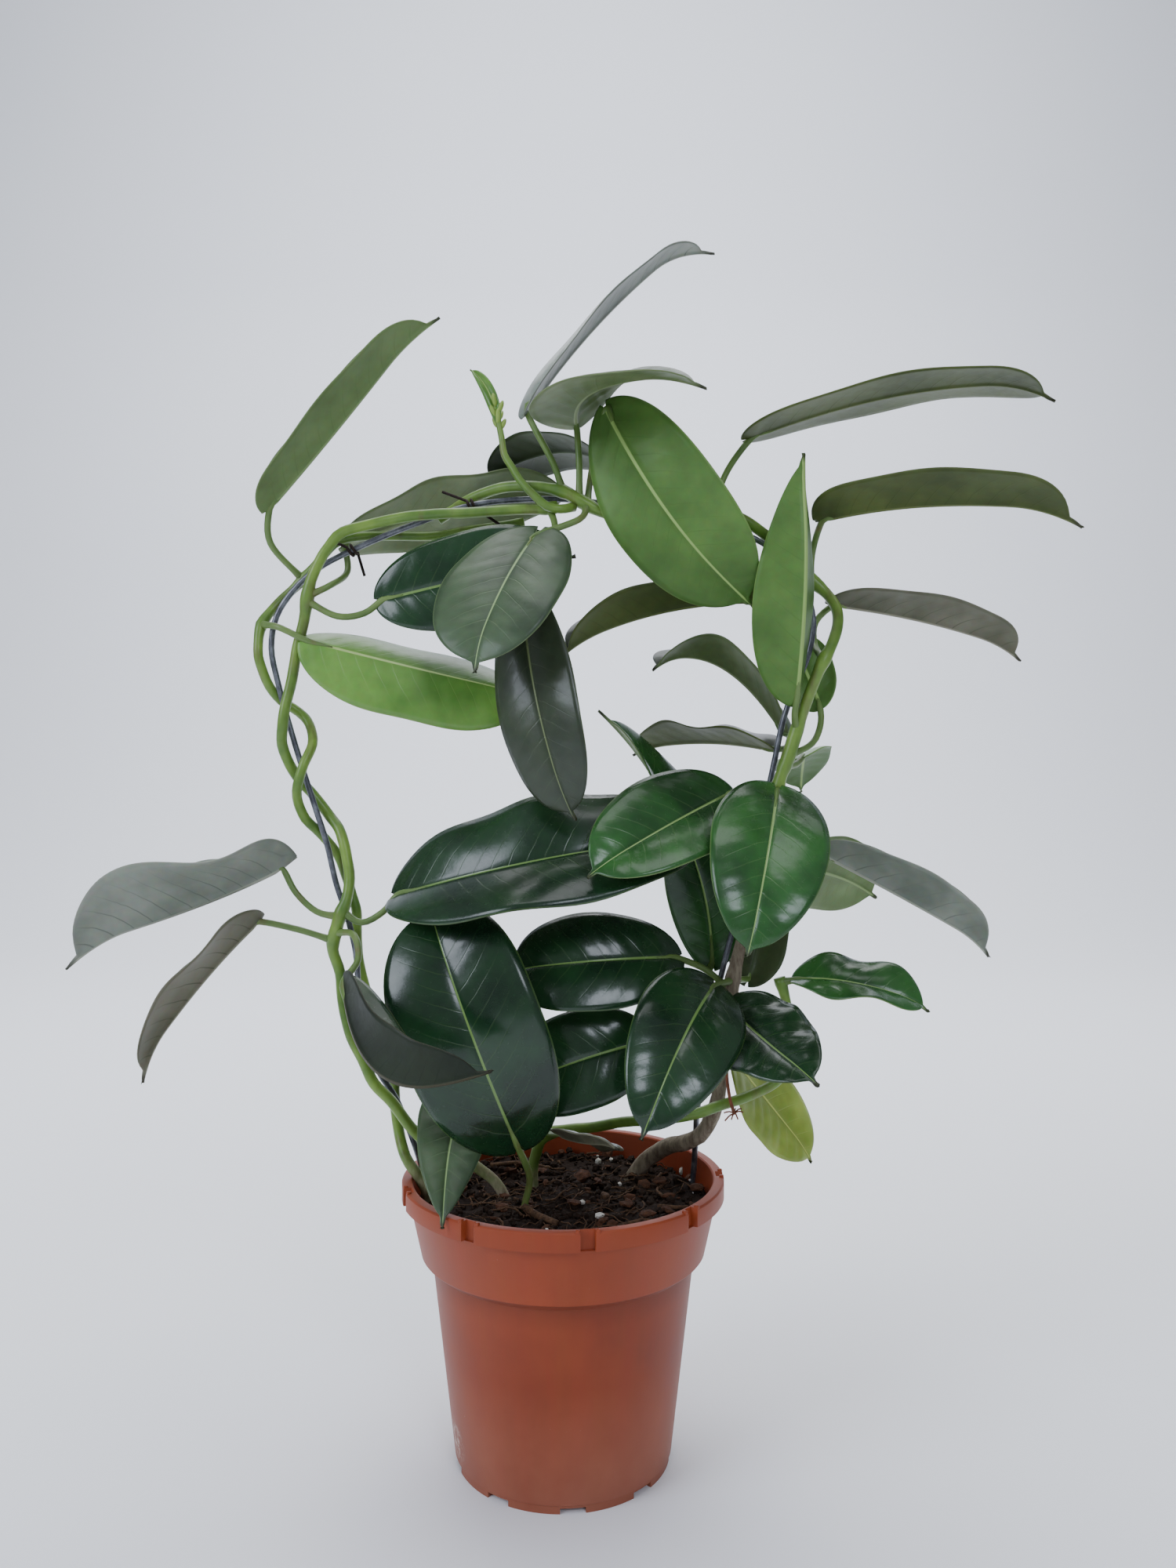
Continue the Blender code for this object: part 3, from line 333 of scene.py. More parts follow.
@dataclass(frozen=True)
class StemFinish:
    """Plant stem skin: green and satin when young, grey-brown corky bark where it is old."""

    name: str
    green_low: str
    green_high: str
    flush: str = "#5f4a35"
    bark_low: str = "#5d5040"
    bark_high: str = "#8d8370"
    roughness: float = 0.38

    FISSURE = 2.2  # mm from one crack of the bark to the next

    def material(self) -> bpy.types.Material:
        """Makes the skin; the mark woody says from 0 to 1 how far it has turned to bark."""
        recipe = Recipe(self.name, IOR=1.45)
        place = recipe.place()
        upward = recipe.drawn_out(place, 0.28)
        cork = recipe.noise(upward, 1000 / self.FISSURE, 5.0, 0.65)
        patch = recipe.noise(place, 90.0, 3.0)
        green = recipe.ramp(patch, {0.3: self.green_low, 0.7: self.green_high})
        bark = recipe.ramp(cork, {0.35: self.bark_low, 0.66: self.bark_high})
        worn = recipe.sum("MULTIPLY_ADD", patch, 0.5, recipe.mark("woody"))
        part = recipe.spread(worn, 0.55, 0.85, kind="SMOOTHSTEP")
        tint = recipe.spread(recipe.noise(upward, 120.0, 3.0, 0.7), 0.54, 0.72, 0.0, 0.55)
        recipe.feed("Base Color", recipe.mix(part, recipe.mix(tint, green, self.flush), bark))
        recipe.feed("Roughness", recipe.spread(part, 0.0, 1.0, self.roughness, 0.85))
        depth = recipe.spread(part, 0.0, 1.0, 0.12, 1.0)
        recipe.bump(recipe.sum("MULTIPLY", cork, depth), 0.7, 0.5)
        return recipe.material


@dataclass(frozen=True)
class CoatedWireFinish:
    """Galvanised steel wire in a thin clear coat: mid grey, shiny, a little scuffed."""

    low: str = "#55575e"
    high: str = "#82858c"
    roughness: float = 0.28

    def material(self) -> bpy.types.Material:
        """Makes the coat with faint scuffs along the wire."""
        recipe = Recipe("galvanised_wire", IOR=1.5, Metallic=0.6)
        scuff = recipe.noise(recipe.place(), 260.0, 4.0, 0.7)
        recipe.feed("Base Color", recipe.ramp(scuff, {0.4: self.low, 0.75: self.high}))
        rough = recipe.spread(scuff, 0.0, 1.0, self.roughness - 0.08, self.roughness + 0.2)
        recipe.feed("Roughness", rough)
        recipe.bump(scuff, 0.25, 0.2)
        return recipe.material


@dataclass(frozen=True)
class MouldedPlasticFinish:
    """Injection-moulded polypropylene: matte terracotta with dust, scuffs, a worn patch and painted
    shade under the collar.
    """

    low: str = "#84381e"
    high: str = "#954325"
    # painted shade: the dark colour laid on the wall below the collar
    shade: str = "#42180d"
    dust: str = "#b98a72"
    scuff: str = "#d9c6b8"
    roughness: float = 0.46

    GRAIN = 0.7  # mm, the tool's fine matte grain, drawn coarser than real so that it shows
    DUST_TOP = 0.045  # m, how far up the wall dust settles
    COLLAR = 0.0772  # m, height of the collar's lower edge, under which the wall is painted darker as shade
    SHADE_FROM = 0.066  # m, where the painted shade under the collar starts to deepen, up to the next height
    SHADE_TO = 0.0765
    RUBBED = (-0.038, -0.015, 0.013)  # m, the middle of a worn patch low on the wall

    def material(self) -> bpy.types.Material:
        """Makes the plastic, its dust low on the wall, its pale scuffs and the painted shade under
        its collar.
        """
        recipe = Recipe("moulded_polypropylene", IOR=1.49, Specular_IOR_Level=0.3)
        place = recipe.place()
        height = recipe.add("SeparateXYZ", {0: place}).outputs[2]
        tint = recipe.noise(place, 26.0, 4.0, 0.55)
        streak = recipe.noise(recipe.drawn_out(place, 0.06), 160.0, 3.0, 0.6)
        spots = recipe.noise(place, 330.0, 5.0, 0.75)
        colour = recipe.ramp(tint, {0.3: self.low, 0.7: self.high})
        colour = recipe.mix(0.14, colour, streak.node.outputs["Color"], "SOFT_LIGHT")
        dusty = recipe.sum("MULTIPLY", recipe.spread(height, self.DUST_TOP, 0.0, 0.0, 0.55), tint)
        colour = recipe.mix(dusty, colour, self.dust)
        colour = recipe.mix(recipe.spread(spots, 0.7, 0.8, 0.0, 0.5), colour, self.scuff)
        feeds = {0: place, 1: self.RUBBED}
        near = recipe.add("VectorMath", feeds, operation="DISTANCE").outputs["Value"]
        patch = recipe.spread(near, 0.003, 0.009, 0.8, 0.0)
        worn = recipe.sum("MULTIPLY", patch, recipe.spread(spots, 0.48, 0.62))
        colour = recipe.mix(worn, colour, self.scuff)
        # Painted shade: the whole wall below the collar is darkened a little, and most of all just
        # under the collar's overhang.
        rise = recipe.spread(height, self.SHADE_FROM, self.SHADE_TO, 0.14, 0.5)
        painted_shade = recipe.sum("MULTIPLY", rise, recipe.sum("LESS_THAN", height, self.COLLAR))
        recipe.feed("Base Color", recipe.mix(painted_shade, colour, self.shade))
        rough = recipe.spread(tint, 0.0, 1.0, self.roughness - 0.06, self.roughness + 0.12)
        recipe.feed("Roughness", rough)
        recipe.bump(recipe.noise(place, 1000 / self.GRAIN, 2.0), 0.18, 0.12)
        return recipe.material


@dataclass(frozen=True)
class CrumbFinish:
    """A loose natural material: peat, bark, roots, perlite or twine."""

    name: str
    low: str
    high: str
    roughness: float
    grain: float  # mm

    def material(self) -> bpy.types.Material:
        """Makes the rough, mottled surface."""
        recipe = Recipe(self.name, IOR=1.4, Specular_IOR_Level=0.25)
        grit = recipe.noise(recipe.place(), 1000 / self.grain, 5.0, 0.7)
        recipe.feed("Base Color", recipe.ramp(grit, {0.3: self.low, 0.72: self.high}))
        rough = recipe.spread(grit, 0.0, 1.0, self.roughness, self.roughness - 0.12)
        recipe.feed("Roughness", rough)
        recipe.bump(grit, 0.9, 0.8)
        return recipe.material


@dataclass(frozen=True)
class Stem:
    """A wire or stem: its route's points, its radius at both ends, and its record slot, which is
    not used.
    """

    name: str
    points: tuple[Point, ...]
    radius: float = 2.1
    end_radius: float = 2.1
    thick_length: float = 0.0  # length over which the radius falls, or 0 for all of it
    slot: str = "stem_green"

    def nearest(self, place: Point) -> Vector:
        """The point of the route nearest to a place."""
        route = smooth_route(self.points, 2.0)
        return min(route, key=lambda spot: (spot - Vector(place)).length)


@dataclass(frozen=True)
class Leaf:
    """One leaf with its stalk. Its upper face looks along facing, which may differ at the tip."""

    name: str
    stem: str
    root: Point
    base: Point
    middle: Point
    tip: Point
    facing: Point
    width: float
    tip_facing: tuple = ()
    via: tuple = ()
    fold: float = 8.0
    curl: float = -14.0
    wave: float = 0.6
    waves: float = 2.0
    phase: float = 0.0
    hook: float = 2.0
    lobe: float = 3.4
    square: float = 2.5
    taper: float = 0.0
    tone: Tone = Tone.DARK

    def midrib(self, t: float) -> Vector:
        """Point at share t of the midrib, on the parabola through base, middle and tip."""
        base, middle, tip = (Vector(point) for point in (self.base, self.middle, self.tip))
        return base * (1 - t) * (1 - 2 * t) + middle * 4 * t * (1 - t) + tip * t * (2 * t - 1)

    def frame(self, t: float) -> tuple[Vector, Vector, Vector]:
        """Directions at one place of the midrib.

        Args:
            t: Share of the midrib.

        Returns:
            Along the midrib, across the blade and out of its upper face.
        """
        along = (self.midrib(t + 0.01) - self.midrib(t - 0.01)).normalized()
        first = Vector(self.facing).normalized()
        last = Vector(self.tip_facing or self.facing).normalized()
        across = along.cross(first.lerp(last, min(1.0, max(0.0, t)))).normalized()
        return along, across, across.cross(along)

    def start(self) -> Vector:
        """Where the stalk starts: on its stem's middle line, or in the soil."""
        stems = [stem for stem in STEMS if stem.name == self.stem]
        return stems[0].nearest(self.root) if stems else Vector(self.root)


@dataclass(frozen=True)
class Tie:
    """A thin cord wound round the wire beside a place, with two free ends."""

    name: str
    place: Point
    turns: float
    ends: tuple[Point, Point]


HOOP = Stem(
    "hoop_wire",
    (
        (-42, 8, 62), (-46.5, 8, 78), (-51, 7, 95), (-54.4, 4.5, 106), (-57.6, 1, 118),
        (-63, 0, 132), (-70, 0, 143), (-75.6, 0, 157), (-77.5, 0, 174), (-78.6, 0, 188),
        (-82, 0, 202), (-86, 0, 214), (-89.5, 0, 229), (-94, 0, 243), (-99.5, 0, 260),
        (-104, 0, 275), (-108, 0, 290), (-110.5, 0, 303), (-108.5, 0, 315), (-102, 0, 325),
        (-93, 0, 333), (-80, 0, 340), (-60, 0, 348.5), (-35, 0, 357), (-11, 0, 359.4),
        (10, 0, 358.4), (40, 0, 353.5), (66, 0, 347), (80, 0, 339.5), (90, 0, 328), (94.5, 0, 314),
        (92.5, 0, 300), (87, 0, 287), (83, 0, 275), (80, 0, 261), (74.5, 0, 236), (67, 0, 207),
        (59.5, 0.5, 178), (54.5, 3, 150), (51.5, 9, 126), (51.3, 14, 113), (50.3, 17.5, 95),
        (46, 16, 78), (41, 15, 62),
    ),
    radius=1.15, end_radius=1.15, slot="wire_coating",
)

STEM_LEFT_OUTER = Stem(
    "stem_left_outer",
    (
        (-44, -10, 66), (-49.5, -7.5, 95), (-53.6, -5, 104), (-59.2, -2.4, 111), (-62.2, 1.6, 118),
        (-64.2, 4.5, 127), (-64.8, 5.8, 134), (-64.8, 5, 141), (-65.2, 3, 149), (-69.5, 3, 157),
        (-74.2, 4.8, 168), (-77.6, 5.2, 180), (-79, 5.3, 189), (-79.2, 5.2, 197), (-79.2, 4.7, 203),
        (-80.9, 5, 209), (-83.6, 5.6, 217), (-86.4, 6.1, 224), (-90.8, 5.7, 230),
        (-94.6, 3.4, 234.6), (-97.6, 0, 238.4), (-99.7, -2.6, 244.4), (-99.7, -4.8, 249),
        (-98.6, -5.7, 253.4), (-97, -5.2, 259), (-94.6, -1.6, 266.4), (-96, 2.4, 272.4),
        (-99, 5.2, 277), (-103.6, 5.4, 280.6), (-107.8, 3.8, 283.4), (-111.4, 0.6, 288.6),
        (-114, -1.4, 296), (-115, -2, 302), (-114.5, 1, 312), (-109.5, 5, 320.5), (-103, 6, 327),
        (-95.6, 5, 334.4), (-90.8, 4.2, 340), (-85.2, 2.6, 344.2), (-76.4, 4, 346.2),
        (-65, 5.4, 346.6), (-50, 4.6, 346.4), (-36, 3.6, 348.4), (-24, 3.4, 350), (-15, 3.2, 351.6),
    ),
    end_radius=1.7,
)

STEM_LEFT_INNER = Stem(
    "stem_left_inner",
    (
        (-15, -2, 68), (-22.6, 2, 95), (-32.4, 2, 105.6), (-44, 0, 112.6), (-53, -2.2, 118.4),
        (-57.8, -4.6, 124), (-64, -6, 133), (-70.6, -6.3, 140), (-75, -5.6, 149),
        (-79.2, -4.6, 156.6), (-83, -1.6, 168.4), (-84.5, 0, 180), (-87, -1, 189), (-85.4, -4, 196),
        (-83.4, -6, 202), (-81, -5.2, 208.4), (-80.2, -3.4, 216), (-81.4, -2.2, 223.4),
        (-82.9, -1, 229.4), (-85.2, 1.2, 234.6), (-88.8, 4.2, 238.6), (-93, 5.2, 244),
        (-97.2, 5.2, 249), (-100.6, 4.2, 252.8), (-103.6, 0, 259), (-105.8, -2.4, 266.4),
        (-105, -5.2, 272.4), (-104.2, -5.4, 279), (-103.2, -4.6, 284), (-101.8, -4, 290.4),
        (-99.8, -4, 302), (-97, -4.6, 313), (-95.8, -5.6, 320), (-94, -6.4, 327.4),
        (-91, -6.2, 334.6), (-87.4, -5.4, 340.6), (-82.6, -4.2, 346), (-71, -2.6, 349.6),
        (-59, -4.6, 351.6), (-46, -5.4, 352.6), (-35, -4.6, 353.2), (-17.5, -4.2, 354.4),
        (-7, -4.6, 354.6), (-2, -4.6, 355.4),
    ),
    end_radius=2.0,
)

STEM_RIGHT = Stem(
    "stem_right",
    (
        (17, 22, 66), (27.5, 24, 95), (38.3, 18, 107.7), (46.5, 8.5, 113.4), (52, 4, 117.4),
        (55.6, 1, 124), (58.4, -1.6, 134), (59.6, -3, 152), (62.6, -4.6, 174), (66.6, -5.2, 192),
        (73.4, -5.4, 215.8), (78.7, -5, 238), (80.4, -5.4, 251), (84.2, -5.4, 262), (88, -5, 273.7),
        (91.6, -8, 285), (95.4, -10, 295.2), (99.6, -8, 302.8), (102.8, -4, 310.4), (103.6, 0, 317),
        (101.6, 3.4, 322.6), (98, 5.4, 327), (94.4, 6, 330.4), (87, 5.4, 338.4), (76, 2.6, 347),
        (66, 0.6, 352.8), (54, -3, 355), (42, -5.2, 353.6), (29, -4.6, 352), (16, -5, 353),
        (6, -5.4, 357.6), (0, -5, 361), (-11.5, -3.2, 363.4), (-23.3, 0.6, 363.8),
        (-35, 4.6, 360.8), (-42, 5.6, 356.6), (-48, 5.2, 352.8),
    ),
    radius=3.6, end_radius=2.1, thick_length=175.0,
)

STEM_LOW = Stem(
    "stem_low",
    (
        (-8, 14, 64), (-12, 11, 95), (-11, 9, 108), (-5.7, 6, 117.6), (12.3, 1, 121.6),
        (22.4, -3, 124.6), (36, -7, 126.6), (48, -9, 129), (58, -10, 132.6), (69.8, -7.4, 135.8),
        (81, -3, 140.6), (86, 0, 150.6), (85.6, 1, 162), (84, 1.5, 171), (82, 2, 178),
    ),
    radius=2.1, end_radius=1.9,
)

SHOOT_TIP = Stem(
    "shoot_tip",
    (
        (4, -6, 355), (-1, -9.6, 353.4), (-6, -9.4, 354.6), (-11.6, -8.6, 359.6),
        (-16, -7.4, 364.6), (-19, -6.4, 369.6), (-22, -5.4, 374.8), (-23, -4.6, 381),
        (-24, -4, 386), (-25, -3.4, 392),
    ),
    radius=1.8, end_radius=1.1,
)

DRIED_STALK = Stem(
    "dried_stalk",
    (
        (60, -4, 152), (60.6, -9, 147.4), (60.6, -12.4, 141.6), (61.6, -14, 135), (63, -14, 130.6),
    ),
    radius=0.6, end_radius=0.6, slot="dry_stalk",
)

YOUNG_LEAF = Leaf(
    "young_leaf", "shoot_tip", (-23, -4.6, 381), (-24.1, -3.9, 386.5), (-28.2, -3.4, 399),
    (-35, -3, 407.5), (-0.3, -0.6, 0.7), 5.5, fold=30, wave=0, hook=0, lobe=0, tone=Tone.BRIGHT,
)

TIES = (
    Tie("tie_left", (-80, 0, 340), 1.6, ((-88, -1.5, 343.5), (-76, 4, 331))),
    Tie("tie_top", (-35, 0, 357), 1.4, ((-46, 1.5, 362.5), (-24, -1, 349.5))),
)

STEMS = (HOOP, STEM_LEFT_OUTER, STEM_LEFT_INNER, STEM_RIGHT, STEM_LOW)

LEAVES = (
    # Crown, left to right
    Leaf("leaf_crown_far_left", "stem_left_outer", (-99, 4, 329), (-109, -8, 354),
        (-79.5, -13, 386.5), (-48, -18, 424), (-0.71, -0.34, 0.61), 34, via=((-110, -3, 342),),
        fold=46, curl=-10, hook=4, square=4, taper=0.1, tone=Tone.MID),
    Leaf("leaf_crown_left_back", "stem_left_inner", (-95, -6, 322), (-85, 13, 345), (-43, 30, 363),
        (4, 38, 371), (-0.1, 0.5, 0.85), 36, via=((-87, -5, 326), (-83, 6, 333)), wave=1.6,
        waves=2.5, tone=Tone.GREY),
    Leaf("leaf_crown_top", "stem_right", (0, -5, 361), (-13.5, -4, 391), (17, 2, 431),
        (53, 6, 463.5), (-0.65, -0.27, 0.71), 33, via=((-4, -6, 372),), fold=17, curl=-6, hook=9,
        square=3, tone=Tone.ASH),
    Leaf("leaf_crown_middle", "stem_right", (6, -5, 358), (5, -5, 386), (14, -32, 391),
        (50, -44, 391), (-0.3, 0.1, 0.95), 42, tip_facing=(-0.45, -0.3, 0.85), via=((6, -6, 372),),
        fold=16, hook=4, tone=Tone.GREY),
    Leaf("leaf_crown_bright", "stem_right", (9, -5, 356), (16, -11, 390), (40.6, -22, 346),
        (70.4, -10, 318.4), (0.25, 0.85, 0.45), 46, via=((11, 1, 372),), taper=0.1,
        tone=Tone.BRIGHT),
    Leaf("leaf_crown_dark_back", "stem_right", (24, -5, 352), (17, 10, 376), (-6, 28, 385),
        (-34, 40, 377), (0, 0.3, 0.95), 32, via=((23.5, -2, 360.5), (22, 6, 366))),
    Leaf("leaf_crown_right_upper", "stem_right", (56, -2, 355), (71, -5, 381.5), (125, -22, 392.5),
        (173, -36, 390), (-0.05, 0, 1), 38, via=((62, -1, 370),), fold=5, curl=-4, hook=5, lobe=4.5,
        square=4.5, tone=Tone.OLIVE),
    Leaf("leaf_crown_right_lower", "stem_right", (95, 6, 330), (96.5, -8, 349.5), (135, -27, 351),
        (179, -44, 344.5), (0, 0.05, 1), 38, via=((95, 3, 341),), fold=28, curl=-10, hook=5,
        square=4.5, tone=Tone.OLIVE),
    Leaf("leaf_right_drooping", "stem_right", (97, -9, 298), (104, 8, 320.5), (144, 12, 314),
        (179.5, 15, 303), (0.2, 0, 1), 32, via=((96, 5, 305), (97, 8, 314)), fold=34, curl=-10,
        hook=3, square=3.2, tone=Tone.TAUPE),
    # Leaves round the upper left node
    Leaf("leaf_left_inner_dark", "stem_left_inner", (-95, -6, 320), (-67, -8, 320), (-31, -12, 328),
        (5, -8, 337), (0, -1, 0.1), 36, via=((-84, -8, 314), (-74, -8, 315))),
    Leaf("leaf_left_long_pale", "stem_left_outer", (-114, -1, 312), (-95, -7.6, 304.8),
        (-52, -8, 294), (-8, -5, 284), (0, -0.79, 0.61), 40, via=((-106, -7, 310),), fold=-26,
        curl=-4, square=3, tone=Tone.BRIGHT),
    Leaf("leaf_front_grey", "stem_right", (8, -5, 356), (-10, -17, 342), (-21, -36, 319),
        (-30, -52, 291), (-0.2, -0.75, 0.6), 46, via=((6, -12, 349),), hook=4, lobe=6,
        tone=Tone.GREY),
    Leaf("leaf_centre_hanging", "stem_left_inner", (-5, -5, 355), (-14, -20, 319), (-8, -33, 278),
        (4, -34, 238), (-0.55, -0.8, 0.1), 34, via=((-3, -12, 345), (-8, -16, 332)),
        tone=Tone.OLIVE),
    # Right side, upper half
    Leaf("leaf_right_upright", "stem_right", (87, -5, 271), (86.5, -10, 283), (87, -25, 330),
        (86, -18, 370), (-0.5, 0.85, 0.1), 44, via=((86, -8.5, 277),), fold=40, curl=0, taper=0.75,
        tone=Tone.BRIGHT),
    Leaf("leaf_right_small_back", "stem_right", (84, -5, 262), (98, 6, 283), (94, 12, 296),
        (88, 14, 311), (0.3, 0.8, 0.3), 22, via=((94, -1, 267), (98, 3, 275)), tone=Tone.BRIGHT),
    Leaf("leaf_inner_olive", "stem_right", (96, 6, 329), (74, 8, 322), (34, 15, 318), (-2, 10, 303),
        (-0.1, 0, 1), 36, fold=40, square=3, tone=Tone.OLIVE),
    Leaf("leaf_inner_upper", "stem_right", (86, -5, 268), (85.7, 14, 271.4), (61, 22, 299),
        (33.5, 14, 298), (0.1, 0.1, 0.9), 34, via=((89, 1, 269), (88.5, 7, 270.5)), fold=28,
        tone=Tone.GREY),
    Leaf("leaf_inner_middle", "stem_right", (84, -5, 264), (79, 8, 265), (54.5, 28, 268.5),
        (28, 45, 266), (-0.1, 0.1, 0.93), 36, via=((85.6, -0.5, 265.5), (83.6, 5, 265)), fold=28,
        wave=1.6, tone=Tone.OLIVE),
    Leaf("leaf_back_hanging", "stem_right", (83, -5, 258), (92, 8, 262), (98, 40, 262),
        (102, 71, 250), (-0.2, 0.4, 0.9), 24, via=((88, 1, 259),), tone=Tone.BRIGHT),
    # Right side, lower half
    Leaf("leaf_right_glossy", "stem_right", (80, -5, 251), (62, -7, 248), (36, -30, 236),
        (9, -46, 221), (0.1, -0.75, 0.65), 42, fold=18, taper=0.2, tone=Tone.MID),
    Leaf("leaf_right_front", "stem_right", (80, -5, 250), (78.5, -14, 248.5), (70, -43, 223.3),
        (62.5, -54, 194), (0.1, -0.8, 0.55), 47, fold=10, lobe=5.5, taper=0.45, tone=Tone.MID),
    Leaf("leaf_right_striped", "stem_right", (76, -5, 228), (86, 5, 219), (108, 30, 215),
        (129, 50, 205), (-0.55, 0.65, 0.5), 34, tone=Tone.MID),
    Leaf("leaf_right_trailing", "stem_right", (77, -5, 232), (98, -2, 225), (130, -11, 207.5),
        (156, -20, 192), (0.48, -0.05, 0.87), 34, fold=52, curl=-12, hook=3, square=3,
        tone=Tone.ASH),
    Leaf("leaf_inner_upright", "stem_right", (62, -5, 172), (57, 7, 183), (47, 10, 231),
        (15, 2, 281), (-0.2, -0.95, 0.2), 34, tip_facing=(0.75, -0.1, 0.65),
        via=((56.5, -2.5, 175), (54.8, 2, 178.5)), fold=20, tone=Tone.MID),
    Leaf("leaf_behind_trunk", "stem_right", (63, -4, 178), (71, 6, 177), (76, 13, 193),
        (77, 21, 207), (0.5, 0.7, 0.3), 26),
    Leaf("leaf_right_wavy", "stem_low", (82, 2, 176), (89, -2, 178), (110, -10, 177.5),
        (135, -14, 170), (0.1, -0.5, 0.85), 27, fold=20, wave=2.4, waves=1.6, tone=Tone.MID),
    Leaf("leaf_right_dark", "stem_right", (62, -4, 172), (60.5, -10, 169.6), (72, -32, 161),
        (84, -59, 154.5), (-0.1, -0.75, 0.65), 39, wave=1.4, waves=3, taper=0.35),
    Leaf("leaf_front_large", "stem_right", (62, -4, 178), (55, -17, 178), (41, -42, 162.5),
        (27, -57, 134), (0.2, -0.8, 0.55), 43, taper=0.4),
    Leaf("leaf_right_yellow_green", "stem_right", (59, -3, 150), (65, 8, 146), (82.5, 22, 123),
        (100, 25, 101), (0.4, -0.7, 0.6), 38, taper=0.25, tone=Tone.YELLOW),
    # Left side and front
    Leaf("leaf_far_left_twisted", "stem_left_inner", (-83, -6, 203), (-105.4, -4, 220),
        (-138, -12, 205.5), (-182, -17, 191.5), (-0.43, 0.17, 0.91), 44,
        via=((-92, -6, 204), (-100, -5, 211)), fold=46, curl=-10, wave=5, waves=1.15, phase=-3.3,
        hook=7, lobe=7, square=5, tone=Tone.ASH),
    Leaf("leaf_lower_left_narrow", "stem_left_inner", (-87, -1, 193), (-114.2, -4, 200),
        (-132, -20, 178), (-151, -32, 149), (-0.81, -0.16, 0.57), 32, via=((-100, -3, 197),),
        fold=35, curl=-10, wave=1.2, hook=4, tone=Tone.TAUPE),
    Leaf("leaf_front_horizontal", "stem_left_inner", (-82, -6, 204), (-62, -6, 210), (-5, -26, 225),
        (52, -8, 232), (0, -0.75, 0.66), 50, via=((-75, -7, 200), (-67, -7, 204)), fold=18,
        wave=1.8, waves=2.5, square=3),
    Leaf("leaf_front_upright", "soil", (-13, -14, 84), (-16, -26, 123), (-33, -35, 169),
        (-50, -14, 210), (-0.1, -0.95, 0.2), 52, via=((-14, -14, 96), (-12, -16, 108)), square=3),
    Leaf("leaf_front_brown", "stem_left_inner", (-85, -4, 196), (-78, -25, 181), (-57, -61, 156),
        (-22.7, -67, 161.5), (0.55, 0.27, 0.79), 34, via=((-77, -12, 196), (-74, -19, 188)),
        fold=60, curl=-10, tone=Tone.BROWN),
    Leaf("leaf_over_rim", "stem_left_inner", (-52, -2, 118), (-36, -5, 139), (-39.8, -26, 123.5),
        (-39.3, -50.5, 103.8), (0.2, -0.8, 0.55), 31, via=((-44, -6, 130),), taper=0.65,
        tone=Tone.GREY),
    Leaf("leaf_centre_dark", "stem_right", (62.5, -5, 175), (41.5, -10, 187.5), (9, -20, 187.4),
        (-22, -14, 183), (0, -0.85, 0.5), 38, via=((53, -7, 182.5),)),
    Leaf("leaf_centre_low", "stem_right", (59.6, -3, 152), (30, -14, 157), (5, -19, 151),
        (-22, -14, 139), (-0.1, -0.95, 0.3), 36, via=((46, -9, 158),)),
    Leaf("leaf_low_pale", "stem_low", (-6, 6, 117.6), (-2, -6, 121), (8, -22, 123), (20, -36, 127),
        (0.1, 0.6, 0.8), 24, tone=Tone.TAUPE),
)


def clear_selection() -> None:
    """Leaves nothing selected, so that the next operator acts on the new piece alone."""
    bpy.ops.object.select_all(action="DESELECT")


def select_only(piece: Piece) -> None:
    """Leaves one piece selected and active.

    Args:
        piece: The object.
    """
    clear_selection()
    piece.select_set(True)
    bpy.context.view_layer.objects.active = piece


def finish_modifiers(piece: Piece) -> None:
    """Applies a piece's modifiers in order.

    Args:
        piece: The object, which is made the active one.
    """
    select_only(piece)
    for modifier in list(piece.modifiers):
        bpy.ops.object.modifier_apply(modifier=modifier.name)


def placed(name: str, data: bpy.types.ID) -> Piece:
    """Stands a new object in the scene.

    Args:
        name: Object's name.
        data: Its mesh, curve, light or camera.

    Returns:
        The object.
    """
    piece = bpy.data.objects.new(name, data)
    bpy.context.scene.collection.objects.link(piece)
    return piece


def meshed(name: str, bm: bmesh.types.BMesh) -> Piece:
    """Turns loose geometry into an object.

    Args:
        name: Name of the object and its mesh.
        bm: The geometry, which is freed.

    Returns:
        The object.
    """
    mesh = bpy.data.meshes.new(name)
    bm.to_mesh(mesh)
    bm.free()
    return placed(name, mesh)


def join_pieces(pieces: list[Piece], name: str) -> Piece:
    """Joins objects into one.

    Args:
        pieces: The objects; the first one's place is kept.
        name: Name of the result.

    Returns:
        The joined object.
    """
    select_only(pieces[0])
    for piece in pieces:
        piece.select_set(True)
    bpy.ops.object.join()
    pieces[0].name = name
    return pieces[0]


def settle(piece: Piece, node: str | None) -> None:
    """Puts a finished piece on the plant's one body and hides the solid that it stands for.

    Args:
        piece: The finished piece.
        node: The solid that it replaces, or None where it only adds to one.
    """
    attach(piece, "root")
    if node:
        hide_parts(node)
    LOG.info("%s: %d faces", piece.name, len(piece.data.polygons))


def dress(piece: Piece, skin: bpy.types.Material, node: str | None) -> None:
    """Gives a piece its one material and settles it."""
    piece.data.materials.append(skin)
    settle(piece, node)


def smooth_route(points: tuple, step: float) -> list[Vector]:
    """Points about a step apart on a smooth curve through a route's own points.

    Args:
        points: The route's points.
        step: Distance wanted between the result's points.

    Returns:
        The points, from the route's first to its last.
    """
    knots = [Vector(point) for point in points]
    knots = [knots[0] * 2 - knots[1], *knots, knots[-1] * 2 - knots[-2]]
    route = []
    for before, start, end, after in zip(knots, knots[1:], knots[2:], knots[3:]):
        pieces = max(1, round((end - start).length / step))
        for index in range(pieces):
            t = index / pieces
            bend = 2 * before - 5 * start + 4 * end - after
            swing = 3 * start - before - 3 * end + after
            route.append(0.5 * (2 * start + (end - before) * t + bend * t * t + swing * t**3))
    route.append(knots[-2])
    return route


